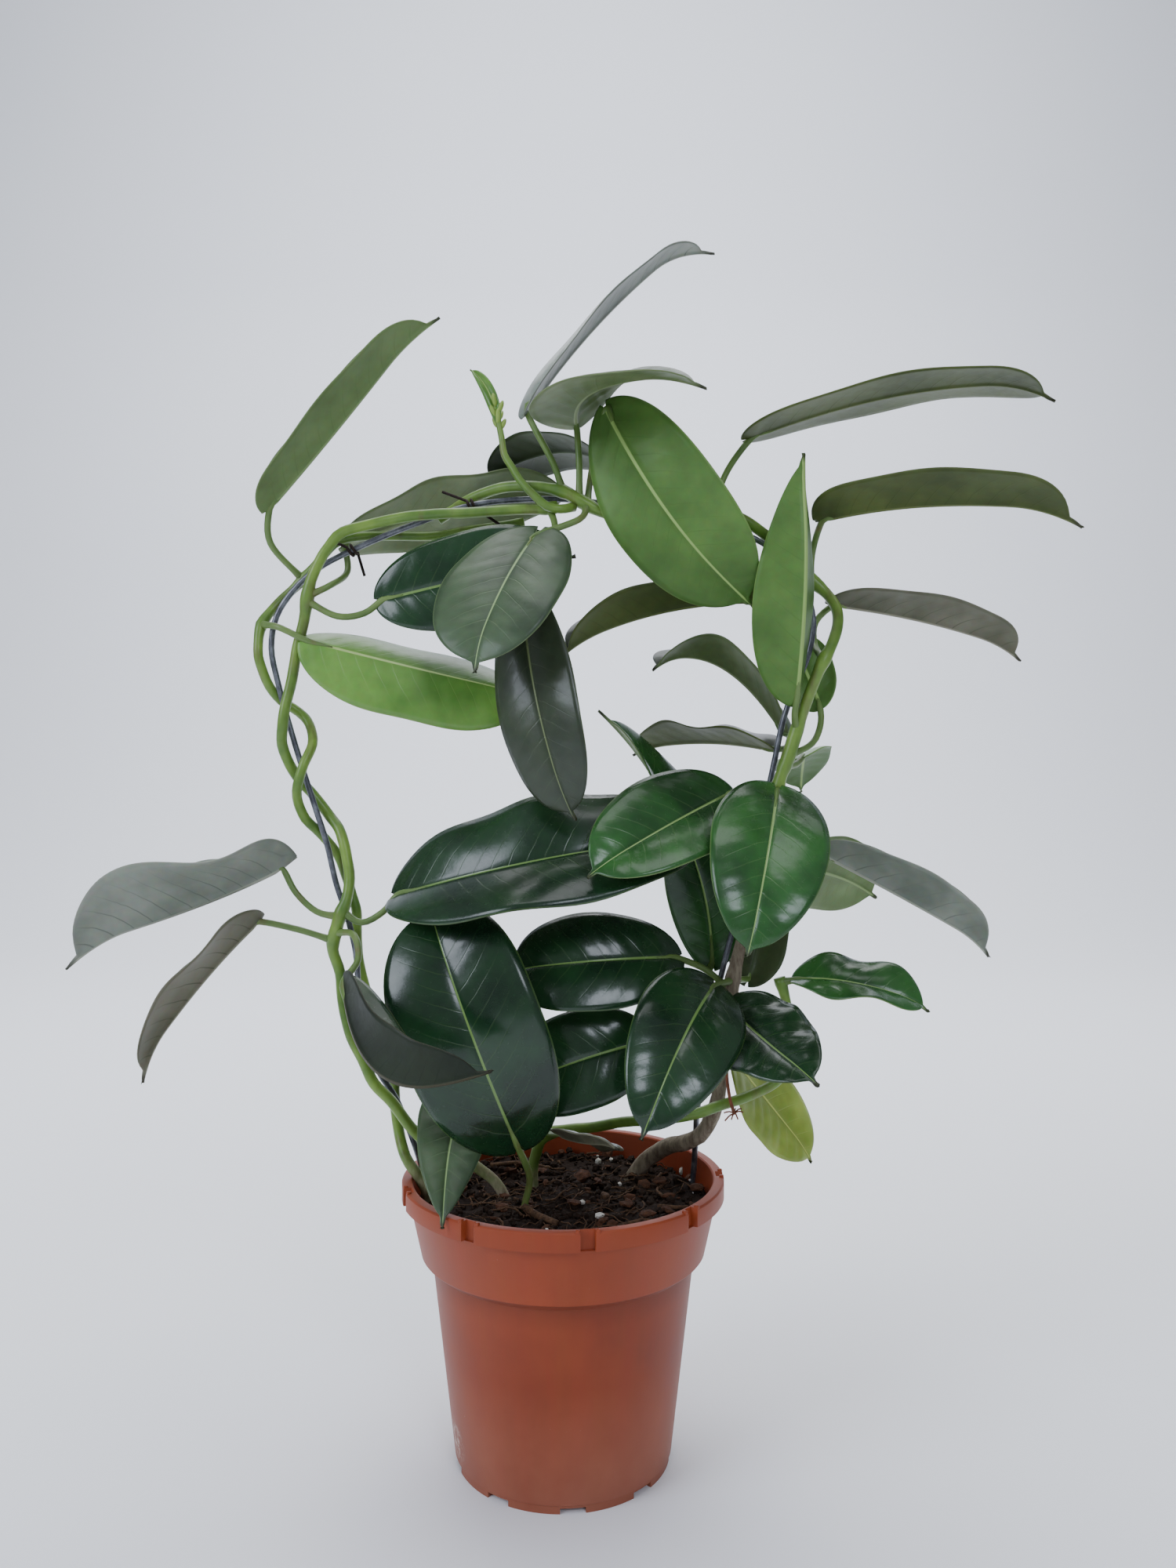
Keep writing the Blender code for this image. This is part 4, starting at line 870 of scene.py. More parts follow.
def lengths_along(route: list[Vector]) -> list[float]:
    """Length along a route up to each of its points.

    Args:
        route: The points.

    Returns:
        The lengths, from 0 at the first point.
    """
    lengths = [0.0]
    for start, end in zip(route, route[1:]):
        lengths.append(lengths[-1] + (end - start).length)
    return lengths


def weld(mesh: bpy.types.Mesh, within: float = 1e-6) -> None:
    """Merges doubled points and turns all faces outward.

    Args:
        mesh: The mesh to mend.
        within: Distance in metres under which points merge.
    """
    bm = bmesh.new()
    bm.from_mesh(mesh)
    bmesh.ops.remove_doubles(bm, verts=bm.verts, dist=within)
    bmesh.ops.recalc_face_normals(bm, faces=bm.faces)
    bm.to_mesh(mesh)
    bm.free()


def tube(name: str, route: list[Vector], radii: list[float], sides: int = 12) -> Piece:
    """A closed round tube along a route.

    Args:
        name: Object's name.
        route: Its middle line in millimetres.
        radii: Its radius at each point.
        sides: Number of faces round it, a multiple of two.

    Returns:
        The tube as a mesh with its caps welded.
    """
    curve = bpy.data.curves.new(name, "CURVE")
    curve.dimensions = "3D"
    curve.bevel_depth = MM
    curve.bevel_resolution = sides // 2 - 2
    curve.use_fill_caps = True
    spline = curve.splines.new("POLY")
    spline.points.add(len(route) - 1)
    for spot, place, radius in zip(spline.points, route, radii):
        spot.co = (*(place * MM), 1.0)
        spot.radius = radius
    select_only(placed(name, curve))
    bpy.ops.object.convert(target="MESH")
    made = bpy.context.object
    weld(made.data)
    made.data.shade_smooth()
    return made


@dataclass
class Foliage:
    """All the leaves, each a quilted blade on its stalk."""

    rows: int = 58
    columns: int = 24
    thickness: float = 0.8
    rim_share: float = 0.5  # thickness left at the margin
    pillow: float = 0.55  # how far each half of the blade bulges
    quilt: float = 0.34  # depth of the hollows along the side veins
    quilt_lean: float = 0.55  # how far the hollows run forwards for each mm across
    groove: float = 0.3
    ridge: float = 0.5
    rib_width: float = 0.8
    rib_run: float = 4.0  # length over which groove and ridge start at the stalk
    ripple_shift: float = 1.7  # radians that one margin's ripple runs ahead of the other's
    stalk_radius: float = 1.25
    stalk_sink: float = 0.11  # share of the midrib along which the stalk runs out
    stalk_foot: float = 3.5  # length of the stalk's thicker foot
    blade_end: float = 0.95
    lobe_end: float = 0.3  # share of the midrib along which the blade's two lobes reach back
    hook_start: float = 0.75
    spur_start: float = 0.88
    spur_share: float = 0.13
    limits: tuple = ()  # the solids' lowest and highest corners in metres: the looks stay inside
    surfaces: dict = field(default_factory=dict)

    def half_width(self, leaf: Leaf, t: float) -> float:
        """Half the blade's width: oblong, rounded at both ends, with a pointed spur.

        Args:
            leaf: The leaf.
            t: Share along the midrib.

        Returns:
            The width in millimetres.
        """
        body = 1 - abs(2 * t / self.blade_end - 1) ** leaf.square
        blade = math.sqrt(max(0.0, body)) * (1 - leaf.taper * t**1.6)
        spur = 0.0
        if t > self.spur_start:
            spur = self.spur_share * ((1 - t) / (1 - self.spur_start)) ** 0.8
        return leaf.width / 2 * max(blade, spur)

    def blade_point(self, leaf: Leaf, u: float, t: float, length: float) -> Vector:
        """Point of the blade's middle surface.

        Args:
            leaf: The leaf.
            u: Place across, from -1 to 1.
            t: Share along the midrib.
            length: The midrib's length.

        Returns:
            The point in millimetres.
        """
        along, across, up = leaf.frame(t)
        half = leaf.width / 2
        reach = self.half_width(leaf, t)
        side = math.copysign(1.0, u)
        share = abs(u) * reach / half
        start = math.radians(leaf.fold)
        bend = math.radians(leaf.curl) or 1e-6
        out = (math.sin(start + bend * share) - math.sin(start)) / bend
        rise = (math.cos(start) - math.cos(start + bend * share)) / bend
        shift = leaf.phase + (self.ripple_shift if u > 0 else 0.0)
        ripple = math.sin(FULL_TURN * leaf.waves * t + shift)
        dome = math.sin(math.pi * min(1.0, abs(u)))
        swell = self.pillow * dome * math.sin(math.pi * min(1, t / self.blade_end)) ** 0.5
        turn = (t * length - self.quilt_lean * abs(u) * reach) / VEIN_SPACING
        uneven = 0.85 + noise.noise(Vector((turn * 0.9, side * 3.0, leaf.width * 1.7)))
        hollow = self.quilt * uneven * (abs(math.sin(math.pi * turn)) - 0.6) * dome
        lift = rise * half + leaf.wave * ripple * share**2 + swell + hollow
        back = leaf.lobe * abs(u) ** 1.5 * max(0.0, 1 - t / self.lobe_end) ** 2 if t > 0 else 0.0
        drop = leaf.hook * max(0.0, (t - self.hook_start) / (1 - self.hook_start)) ** 2
        place = leaf.midrib(t) + across * (side * out * half)
        return place + up * (lift - drop) - along * back

    def blade(self, leaf: Leaf) -> Piece:
        """Models one blade from a grid: laid on its surface, given thickness, then rib and groove.

        Args:
            leaf: The leaf.

        Returns:
            The blade, with one material on each face.
        """
        clear_selection()
        bpy.ops.mesh.primitive_grid_add(
            x_subdivisions=self.columns, y_subdivisions=self.rows, size=2
        )
        piece = bpy.context.object
        piece.name = leaf.name + "_blade"
        mesh = piece.data
        for name, kind in (("blade", "FLOAT_VECTOR"), ("grown", "FLOAT")):
            mesh.attributes.new(name, kind, "POINT")
        marks, shares = mesh.attributes["blade"], mesh.attributes["grown"]
        length = lengths_along([leaf.midrib(index / 24) for index in range(25)])[-1]
        for index, vertex in enumerate(mesh.vertices):
            u = math.copysign(abs(vertex.co.x) ** 1.5, vertex.co.x)
            t = (1 - math.cos(math.pi * (vertex.co.y + 1) / 2)) / 2
            vertex.co = self.blade_point(leaf, u, t, length) * MM
            marks.data[index].vector = (u * self.half_width(leaf, t), t * length, abs(u))
            shares.data[index].value = t
        bpy.ops.object.mode_set(mode="EDIT")
        bpy.ops.mesh.select_all(action="SELECT")
        bpy.ops.mesh.remove_doubles(threshold=1e-6)
        bpy.ops.object.mode_set(mode="OBJECT")
        mesh.shade_smooth()
        for skin in self.surfaces[leaf.tone]:
            mesh.materials.append(skin)
        count = len(mesh.vertices)
        thick = piece.modifiers.new("thickness", "SOLIDIFY")
        thick.thickness = self.thickness * MM
        thick.offset = 0
        thick.material_offset = 1
        thick.material_offset_rim = 1
        finish_modifiers(piece)
        self.carve(piece.data, count)
        return piece

    def carve(self, mesh: bpy.types.Mesh, count: int) -> None:
        """Thins the margin, sinks the groove above the midrib and raises the rib below it.

        Args:
            mesh: The blade with both faces.
            count: Number of points of the first face; the second's follow in the same order.
        """
        marks = mesh.attributes["blade"].data
        for index in range(count):
            first, second = mesh.vertices[index], mesh.vertices[index + count]
            across, along, share = marks[index].vector
            middle = (first.co + second.co) / 2
            half = (first.co - second.co) / 2
            out = half.normalized()
            half *= 1 - (1 - self.rim_share) * share**5
            line = math.exp(-((across / self.rib_width) ** 2)) * min(1.0, along / self.rib_run)
            first.co = middle + half - out * (self.groove * line * MM)
            second.co = middle - half - out * (self.ridge * line * MM)
        for vertex in mesh.vertices if self.limits else ():
            for axis, (low, high) in enumerate(zip(*self.limits)):
                vertex.co[axis] = min(high, max(low, vertex.co[axis]))

    def stalk(self, leaf: Leaf) -> Piece:
        """Models the stalk, from inside its stem to a little way along the midrib.

        Args:
            leaf: The leaf.

        Returns:
            The stalk, without its material.
        """
        ends = [leaf.midrib(self.stalk_sink * share) for share in (0.0, 0.5, 1.0)]
        route = smooth_route((leaf.start(), *leaf.via, *ends), 2.2)
        lengths = lengths_along(route)
        radii = []
        for length in lengths:
            left = max(0.0, 1 - length / lengths[-1])
            inside = min(1.0, left * lengths[-1] / (self.stalk_sink * leaf.width * 2))
            foot = 0.35 * math.exp(-((length / self.stalk_foot) ** 2))
            radii.append(max(0.3, self.stalk_radius * (0.25 + 0.75 * inside) * (1 + foot)))
        return tube(leaf.name + "_stalk", route, radii)

    def build(self) -> None:
        """Builds every leaf."""
        for finish in LEAF_FINISHES:
            self.surfaces[finish.tone] = (finish.surface(False), finish.surface(True))
        tints = ("#4f6a33", "#6c8446", "#6a5338")
        skin = StemFinish("leaf_stalk_skin", *tints, roughness=0.4).material()
        for leaf in LEAVES:
            blade, stalk = self.blade(leaf), self.stalk(leaf)
            stalk.data.materials.append(skin)
            settle(join_pieces([blade, stalk], leaf.name + "_looks"), leaf.name)


@dataclass
class Climbers:
    """The wire hoop, the twining stems, the growing tip, the dried stalk and the ties."""

    step: float = 2.4
    node_swelling: float = 0.3
    node_length: float = 3.2
    bark_depth: float = 0.14
    bark_grain: float = 420.0  # furrows to the metre
    lump_depth: float = 0.05
    lump_grain: float = 160.0
    bark_end: float = 205.0  # height up to which the trunk is woody
    soil_height: float = 95.0
    bark_fade: float = 45.0  # height over which bark turns to green skin
    wire_gap: float = 0.3
    tie_radius: float = 0.55
    tie_pitch: float = 1.7
    tie_sides: int = 16
    bud_count: int = 8
    bud_turn: float = 2.4  # radians from one bud to the next
    bud_reach: float = 1.7
    thread_count: int = 9
    thread_radius: float = 0.28
    tuft_place: Point = (63, -14, 131)

    def woody(self, stem: Stem, place: Vector) -> float:
        """How far a stem has turned to bark.

        Args:
            stem: The stem.
            place: A place on its middle line.

        Returns:
            A share from 0, green, to 1, bark.
        """
        if stem.name == "dried_stalk":
            return 1.0
        if stem.name == "stem_right":
            return min(1.0, max(0.0, (self.bark_end - place.z) / self.bark_fade + 0.5))
        return min(1.0, 0.55 * max(0.0, 1 - (place.z - self.soil_height) / self.bark_fade))

    def stem(self, stem: Stem, sides: int = 14) -> Piece:
        """Models one stem with swollen leaf nodes and, where it is old, furrowed bark.

        Args:
            stem: The stem.
            sides: Number of faces round it.

        Returns:
            The piece, without its material.
        """
        route = smooth_route(stem.points, self.step)
        lengths = lengths_along(route)
        fall = stem.thick_length or lengths[-1]
        knots = [leaf.start() for leaf in LEAVES if leaf.stem == stem.name]
        radii = []
        for place, length in zip(route, lengths):
            radius = stem.radius + (stem.end_radius - stem.radius) * min(1.0, length / fall)
            near = min(((place - knot).length for knot in knots), default=1e6)
            swell = self.node_swelling * math.exp(-((near / self.node_length) ** 2))
            radii.append(radius * (1 + swell))
        piece = tube(stem.name + "_looks", route, radii, sides)
        tree = kdtree.KDTree(len(route))
        for index, place in enumerate(route):
            tree.insert(place * MM, index)
        tree.balance()
        marks = piece.data.attributes.new("woody", "FLOAT", "POINT")
        for index, vertex in enumerate(piece.data.vertices):
            spot, near, _ = tree.find(vertex.co)
            share = self.woody(stem, route[near])
            marks.data[index].value = share
            out = vertex.co - spot
            upward = Vector((vertex.co.x, vertex.co.y, vertex.co.z * 0.3))
            furrow = self.bark_depth * share * noise.noise(upward * self.bark_grain)
            lump = self.lump_depth * noise.noise(vertex.co * self.lump_grain)
            vertex.co += out * (furrow + lump)
        return piece

    def tie_route(self, tie: Tie) -> list[Vector]:
        """Middle line of a tie: one free end, its turns round the wire, the other free end.

        Args:
            tie: The tie.

        Returns:
            The points.
        """
        route = smooth_route(HOOP.points, 1.95)
        inner = range(1, len(route) - 1)
        near = min(inner, key=lambda index: (route[index] - Vector(tie.place)).length)
        along = (route[near + 1] - route[near - 1]).normalized()
        first = along.cross(Vector((0, 1, 0))).normalized()
        second = along.cross(first)
        reach = HOOP.radius + self.wire_gap + self.tie_radius
        coil = []
        for step in range(round(tie.turns * self.tie_sides) + 1):
            turn = step / self.tie_sides
            shift = along * (self.tie_pitch * (turn - tie.turns / 2))
            out = first * math.cos(FULL_TURN * turn) + second * math.sin(FULL_TURN * turn)
            coil.append(route[near] + shift + out * reach)
        return [Vector(tie.ends[0]), *coil, Vector(tie.ends[1])]

    def buds(self) -> Piece:
        """Models the closed buds packed round the growing tip, from stretched spheres.

        Returns:
            The buds as one piece.
        """
        draw = random.Random(11)
        made = []
        for turn in range(self.bud_count):
            angle = turn * self.bud_turn
            side = Vector((math.cos(angle), math.sin(angle), 0)) * self.bud_reach
            spot = Vector((-24.3 - 0.1 * turn, -3.8, 386.5 + turn * 1.25)) + side
            long = draw.uniform(1.9, 3.0)
            clear_selection()
            bpy.ops.mesh.primitive_uv_sphere_add(
                segments=10, ring_count=7, radius=MM, location=spot * MM
            )
            bud = bpy.context.object
            bud.scale = (0.95, 0.95, long)
            bud.rotation_euler = (-0.45 * math.sin(angle), 0.45 * math.cos(angle), 0)
            bpy.ops.object.transform_apply(location=True, rotation=True, scale=True)
            bud.data.shade_smooth()
            made.append(bud)
        return join_pieces(made, "tip_buds")

    def tuft(self) -> Piece:
        """Models the dried flower stalk's frayed end, a few thin threads.

        Returns:
            The threads as one piece.
        """
        draw = random.Random(5)
        start = Vector(self.tuft_place)
        made = []
        for index in range(self.thread_count):
            angle = index * 0.7
            out = draw.uniform(1.5, 4.2)
            drop = draw.uniform(-3.2, 1.5)
            side = Vector((math.cos(angle) * out, math.sin(angle) * out * 0.6, drop))
            route = (start, start + side * 0.5 + Vector((0, 0, 0.5)), start + side)
            radii = [self.thread_radius] * 20
            made.append(tube(f"thread_{index}", smooth_route(route, 0.9), radii, 6))
        return join_pieces(made, "dried_tuft")

    def shoot(self, green: bpy.types.Material, foliage: Foliage) -> None:
        """Builds the growing tip with its buds and its small folded leaf.

        Args:
            green: The green stems' skin.
            foliage: The leaves, whose finishes the small leaf shares.
        """
        small = Foliage(
            rows=26, columns=10, thickness=0.6, pillow=0.1, quilt=0.0, groove=0.1, ridge=0.2
        )
        small.surfaces = foliage.surfaces
        shoot = self.stem(SHOOT_TIP, 12)
        shoot.data.materials.append(green)
        buds = self.buds()
        buds.data.materials.append(
            StemFinish("young_bud_skin", "#7f9c44", "#9db858", "#6d7f3a").material()
        )
        tip = join_pieces([shoot, buds, small.blade(YOUNG_LEAF)], "shoot_tip_looks")
        settle(tip, SHOOT_TIP.name)

    def build(self, foliage: Foliage) -> None:
        """Builds every wire, stem and tie.

        Args:
            foliage: The leaves, whose finishes the growing tip's leaf shares.
        """
        green = StemFinish("green_stem_skin", "#4c6e2c", "#78973f").material()
        browns = ("#6d3b26", "#8a5036", "#6d3b26", "#5a3222", "#8a5238")
        dry = StemFinish("dried_stalk_skin", *browns, 0.8).material()
        route = smooth_route(HOOP.points, 3.0)
        hoop = tube(HOOP.name + "_looks", route, [HOOP.radius] * len(route))
        dress(hoop, CoatedWireFinish().material(), HOOP.name)
        for stem in STEMS[1:]:
            dress(self.stem(stem), green, stem.name)
        self.shoot(green, foliage)
        stalk = join_pieces([self.stem(DRIED_STALK, 8), self.tuft()], "dried_stalk_looks")
        dress(stalk, dry, DRIED_STALK.name)
        cord = CrumbFinish("waxed_twine", "#1e1714", "#3a2c26", 0.75, 1.0).material()
        for tie in TIES:
            route = self.tie_route(tie)
            piece = tube(tie.name + "_looks", route, [self.tie_radius] * len(route), 10)
            dress(piece, cord, tie.name)


@dataclass
class NurseryPot:
    """The moulded pot: foot, wall, stepped collar and a lip cut by nine notches."""

    height: float = 104.5
    lip_radius: float = 60.4
    lip_drop: float = 6.5
    collar_top: float = 57.6
    collar_bottom: float = 76.0
    collar_low_radius: float = 53.2
    wall_top: float = 48.9
    foot_radius: float = 40.0
    foot_width: float = 3.2
    floor: float = 3.0
    wall: float = 1.5
    steps: int = 180
    seam: float = 1e-5  # m, within which the turned body's ends merge
    notches: int = 9
    notch_width: float = 5.2
    notch_start: float = -81.0
    slot_width: float = 9.0
    slot_height: float = 2.0
    slot_start: float = -84.0
    drain_radius: float = 3.2
    drain_circle: float = 27.0
    drain_turn: float = 20.0
    ear_size: Point = (1.7, 1.5, 1.7)
    ear_gap: float = 0.9
    ear_edge: float = 0.35
    edge: float = 0.28

    def profile(self) -> list[tuple[float, float]]:
        """The wall's outline, from the floor's middle round to its underside.

        Returns:
            Its corners as radius and height.
        """
        inner = self.collar_top - self.wall
        top, low, lip = self.height, self.collar_bottom, self.height - self.lip_drop
        foot = self.foot_radius - self.foot_width
        return [
            (0, self.floor + self.wall),
            (self.foot_radius - self.wall - 0.6, self.floor + self.wall),
            (self.wall_top - self.wall, low + self.wall - 1.8),
            (self.collar_low_radius - self.wall, low + self.wall + 1),
            (inner, lip),
            (inner + 0.2, top - 0.5),
            (inner + 0.7, top),
            (self.lip_radius - 0.6, top),
            (self.lip_radius, top - 0.6),
            (self.lip_radius, lip),
            (self.collar_top, lip - 0.3),
            (self.collar_low_radius, low + 1.8),
            (self.collar_low_radius - 0.7, low + 0.9),
            (self.wall_top + 0.2, low - 1.6),
            (self.wall_top, low - 2.4),
            (self.foot_radius + 0.7, self.floor + 0.3),
            (self.foot_radius, self.floor - 0.2),
            (self.foot_radius, 0),
            (foot, 0),
            (foot, self.floor),
            (0, self.floor),
        ]

    def turned(self) -> Piece:
        """Turns the outline into the pot's body.

        Returns:
            The body, uncut.
        """
        bm = bmesh.new()
        spots = [bm.verts.new((radius * MM, 0, height * MM)) for radius, height in self.profile()]
        for start, end in zip(spots, spots[1:]):
            bm.edges.new((start, end))
        piece = meshed("pot_looks", bm)
        turn = piece.modifiers.new("turn", "SCREW")
        turn.steps = self.steps
        turn.render_steps = self.steps
        turn.use_merge_vertices = True
        turn.merge_threshold = self.seam
        finish_modifiers(piece)
        weld(piece.data, self.seam)
        return piece

    def around(self, radius: float, height: float, angle: float) -> Vector:
        """The place at a radius, height and direction in degrees, in metres."""
        turn = math.radians(angle)
        return Vector((radius * math.cos(turn), radius * math.sin(turn), height)) * MM

    def block(self, size: Point, radius: float, height: float, angle: float) -> Piece:
        """A box that faces outward from the pot's axis.

        Args:
            size: Its length outward, its width and its height.
            radius: Distance of its middle from the pot's axis.
            height: Height of its middle.
            angle: Its direction, in degrees.

        Returns:
            The box.
        """
        clear_selection()
        spot = self.around(radius, height, angle)
        bpy.ops.mesh.primitive_cube_add(size=1, location=spot, rotation=(0, 0, math.radians(angle)))
        box = bpy.context.object
        box.scale = tuple(side * MM for side in size)
        bpy.ops.object.transform_apply(location=True, rotation=True, scale=True)
        return box

    def drain(self, angle: float) -> Piece:
        """A round cutter for one drain hole.

        Args:
            angle: Its direction, in degrees.

        Returns:
            The cutter.
        """
        clear_selection()
        spot = self.around(self.drain_circle, 0, angle)
        size = {"radius": self.drain_radius * MM, "depth": self.floor * 6 * MM}
        bpy.ops.mesh.primitive_cylinder_add(vertices=24, location=spot, **size)
        bpy.ops.object.transform_apply(location=True, rotation=True, scale=True)
        return bpy.context.object

    def ear(self, angle: float) -> Piece:
        """Models the small raised corner that the tool leaves at one side of a notch.

        Args:
            angle: Its direction, in degrees.

        Returns:
            The ear, a little bevelled block sunk into the lip.
        """
        ear = self.block(self.ear_size, self.lip_radius - 0.95, self.height - 0.1, angle)
        round_off = ear.modifiers.new("round", "BEVEL")
        round_off.width = self.ear_edge * MM
        round_off.segments = 2
        finish_modifiers(ear)
        ear.data.shade_smooth()
        return ear

    def cutters(self) -> Piece:
        """Models all that is cut from the pot: lip notches, foot slots and drain holes.

        Returns:
            The cutters as one piece.
        """
        deep, tall = self.lip_radius - self.collar_top + 4, self.lip_drop + 1
        lip = (deep, self.notch_width, tall)
        middle = self.height - self.lip_drop + tall / 2 - 0.2
        low = (self.foot_width * 3, self.slot_width, self.slot_height * 2)
        made = []
        for index in range(self.notches):
            turn = index * 360 / self.notches
            notch = self.notch_start + turn
            slot = self.slot_start + turn
            made.append(self.block(lip, self.collar_top - 0.2 + deep / 2, middle, notch))
            made.append(self.block(low, self.foot_radius - 1, 0, slot))
            made.append(self.drain(slot + self.drain_turn))
        return join_pieces(made, "pot_cutters")

    def build(self) -> None:
        """Builds the pot, cuts it and softens its edges."""
        pot = self.turned()
        aside = math.degrees((self.notch_width / 2 + self.ear_gap) / self.lip_radius)
        turns = [self.notch_start + index * 360 / self.notches for index in range(self.notches)]
        ears = [self.ear(turn + side * aside) for turn in turns for side in (-1, 1)]
        tools = self.cutters()
        cut = pot.modifiers.new("cut", "BOOLEAN")
        cut.operation = "DIFFERENCE"
        cut.solver = "EXACT"
        cut.object = tools
        soften = pot.modifiers.new("soften", "BEVEL")
        soften.width = self.edge * MM
        soften.segments = 2
        soften.limit_method = "ANGLE"
        soften.angle_limit = math.radians(38)
        finish_modifiers(pot)
        bpy.data.objects.remove(tools)
        select_only(pot)
        bpy.ops.object.shade_smooth_by_angle(angle=math.radians(35))
        pot = join_pieces([pot, *ears], "pot_looks")
        dress(pot, MouldedPlasticFinish().material(), "pot")


@dataclass(frozen=True)
class Lumps:
    """Small irregular lumps scattered over the soil as one piece."""

    name: str
    count: int
    sizes: tuple[float, float]  # smallest and largest radius
    flat: float  # thickness as a share of the radius
    rise: float  # how far a lump's middle stands above the soil, as a share of its radius
    finish: CrumbFinish
    chosen: tuple = ()  # place and radius of the lumps that the photograph shows singly


@dataclass
class PottingMix:
    """The filled pot's top: peat with crumbs, bark chips, roots and perlite, pressed to a mound."""

    height: float = 95.0
    bump: float = 1.3
    radius: float = 55.2
    sides: tuple = ((51.2, 79.6), (46.8, 75.2), (37.0, 4.8))  # radius and height, downwards
    rim_from: float = 0.97  # share of the radius outside which the soil drops to the wall
    rim_drop: float = 1.2
    # Each ring's radius as a share of the one outside it.
    rings: tuple = (
        0.93, 0.93, 0.92, 0.92, 0.91, 0.9, 0.89, 0.88, 0.86, 0.84, 0.8, 0.75, 0.7, 0.6, 0.45,
    )
    reach: float = 52.4  # how far from the pot's axis lumps lie
    root_start: float = 50.0  # the same for where roots start
    root_end: float = 54.5  # and for where they stop
    roots: int = 130
    seed: int = 7
    twigs: tuple = (
        ((-14, -16), (-9, -22), (-1.5, -30), 1.5),
        ((15, -6), (16.5, -3), (15, 0), 1.3),
        ((26, 20), (29, 23), (33, 24), 0.8),
        ((20, -34), (30, -30), (39, -33), 0.9),
        ((-30, 30), (-18, 34), (-6, 31), 1.1),
        ((35, -12), (44, -14), (50, -9), 0.8),
    )
    dressings: tuple = (
        Lumps(
            "soil_crumbs", 900, (0.6, 2.4), 0.8, 0.35,
            CrumbFinish("peat_crumbs", "#150e09", "#33241a", 0.97, 1.0),
        ),
        Lumps(
            "soil_chips", 90, (1.2, 4.2), 0.35, 0.5,
            CrumbFinish("bark_chips", "#2a1a11", "#553522", 0.9, 2.2),
        ),
        Lumps(
            "soil_perlite", 24, (0.4, 1.1), 0.85, 0.7,
            CrumbFinish("expanded_perlite", "#b9b3a6", "#efece4", 0.9, 0.8),
            ((13.5, -23, 2.1), (13.5, 41, 1.6), (47, 30, 1.8), (7.3, -9.6, 1.4), (19, 40, 1.2)),
        ),
    )

    def level(self, x: float, y: float) -> float:
        """Height of the soil, which rises and falls in one broad and one small swell.

        Args:
            x: The place's x.
            y: The place's y.

        Returns:
            The height in millimetres.
        """
        broad = math.sin(x * 0.13 + 1.7) * math.cos(y * 0.11 - 0.6)
        small = math.sin(x * 0.31 - y * 0.23 + 0.5) * math.cos(y * 0.37 + x * 0.07)
        return self.height + self.bump * (0.7 * broad + 0.55 * small)

    def body(self) -> Piece:
        """Models the soil as a round block that fills the pot, with a rough top.

        Returns:
            The block.
        """
        clear_selection()
        bpy.ops.mesh.primitive_cylinder_add(vertices=96, radius=1, depth=2, end_fill_type="NGON")
        piece = bpy.context.object
        piece.name = "soil_looks"
        bpy.ops.object.mode_set(mode="EDIT")
        for face in bmesh.from_edit_mesh(piece.data).faces:
            face.select = face.normal.z > 0.9
        for share in self.rings:
            bpy.ops.mesh.inset(thickness=0)
            bpy.ops.transform.resize(value=(share, share, 1))
        for face in bmesh.from_edit_mesh(piece.data).faces:
            face.select = face.normal.z < -0.9
        for _ in self.sides[1:]:
            bpy.ops.mesh.extrude_region_move(TRANSFORM_OT_translate={"value": (0, 0, -1)})
        bpy.ops.object.mode_set(mode="OBJECT")
        for vertex in piece.data.vertices:
            x, y, z = vertex.co
            radius, height = self.radius, 0.0
            if z < 0:
                radius, height = self.sides[round(-z) - 1]
            edge = self.rim_drop if math.hypot(x, y) > self.rim_from else 0.0
            x, y = x * radius, y * radius
            if z > 0:
                rough = 1.5 * noise.noise(Vector((x, y, 3.0)) * 0.22)
                rough += 0.8 * noise.noise(Vector((x, y, 9.0)) * 0.6)
                height = self.level(x, y) + rough - edge
            vertex.co = Vector((x, y, height)) * MM
        piece.data.shade_smooth()
        return piece

    def scatter(self, draw: random.Random, reach: float) -> tuple[float, float]:
        """A random place on the soil.

        Args:
            draw: The seeded source of chance.
            reach: Largest distance from the pot's axis.

        Returns:
            The place's x and y.
        """
        distance = reach * math.sqrt(draw.random())
        angle = draw.uniform(0, FULL_TURN)
        return distance * math.cos(angle), distance * math.sin(angle)

    def lumps(self, kind: Lumps) -> Piece:
        """Scatters one kind of lumps.

        Args:
            kind: What they are.

        Returns:
            The piece.
        """
        draw = random.Random(f"{kind.name}{self.seed}")
        small, large = kind.sizes
        bm = bmesh.new()
        for index in range(kind.count + len(kind.chosen)):
            x, y = self.scatter(draw, self.reach)
            size = small + (large - small) * draw.random() ** 2.2
            if index < len(kind.chosen):
                x, y, size = kind.chosen[index]
            spin = Matrix.Rotation(draw.uniform(0, 6.3), 4, "Z")
            turn = spin @ Matrix.Rotation(draw.gauss(0, 0.5), 4, "X")
            wide, flat = draw.uniform(0.55, 0.9), kind.flat * draw.uniform(0.7, 1.2)
            shape = Matrix.Diagonal((size, size * wide, size * flat, 1))
            spot = Matrix.Translation((x, y, self.level(x, y) + size * kind.rise))
            for vertex in bmesh.ops.create_icosphere(bm, subdivisions=1, radius=1.0)["verts"]:
                vertex.co *= 1 + 0.35 * noise.noise(vertex.co * 1.7 + Vector((x, y, size)))
                vertex.co = (spot @ turn @ shape) @ vertex.co * MM
        return meshed(kind.name, bm)

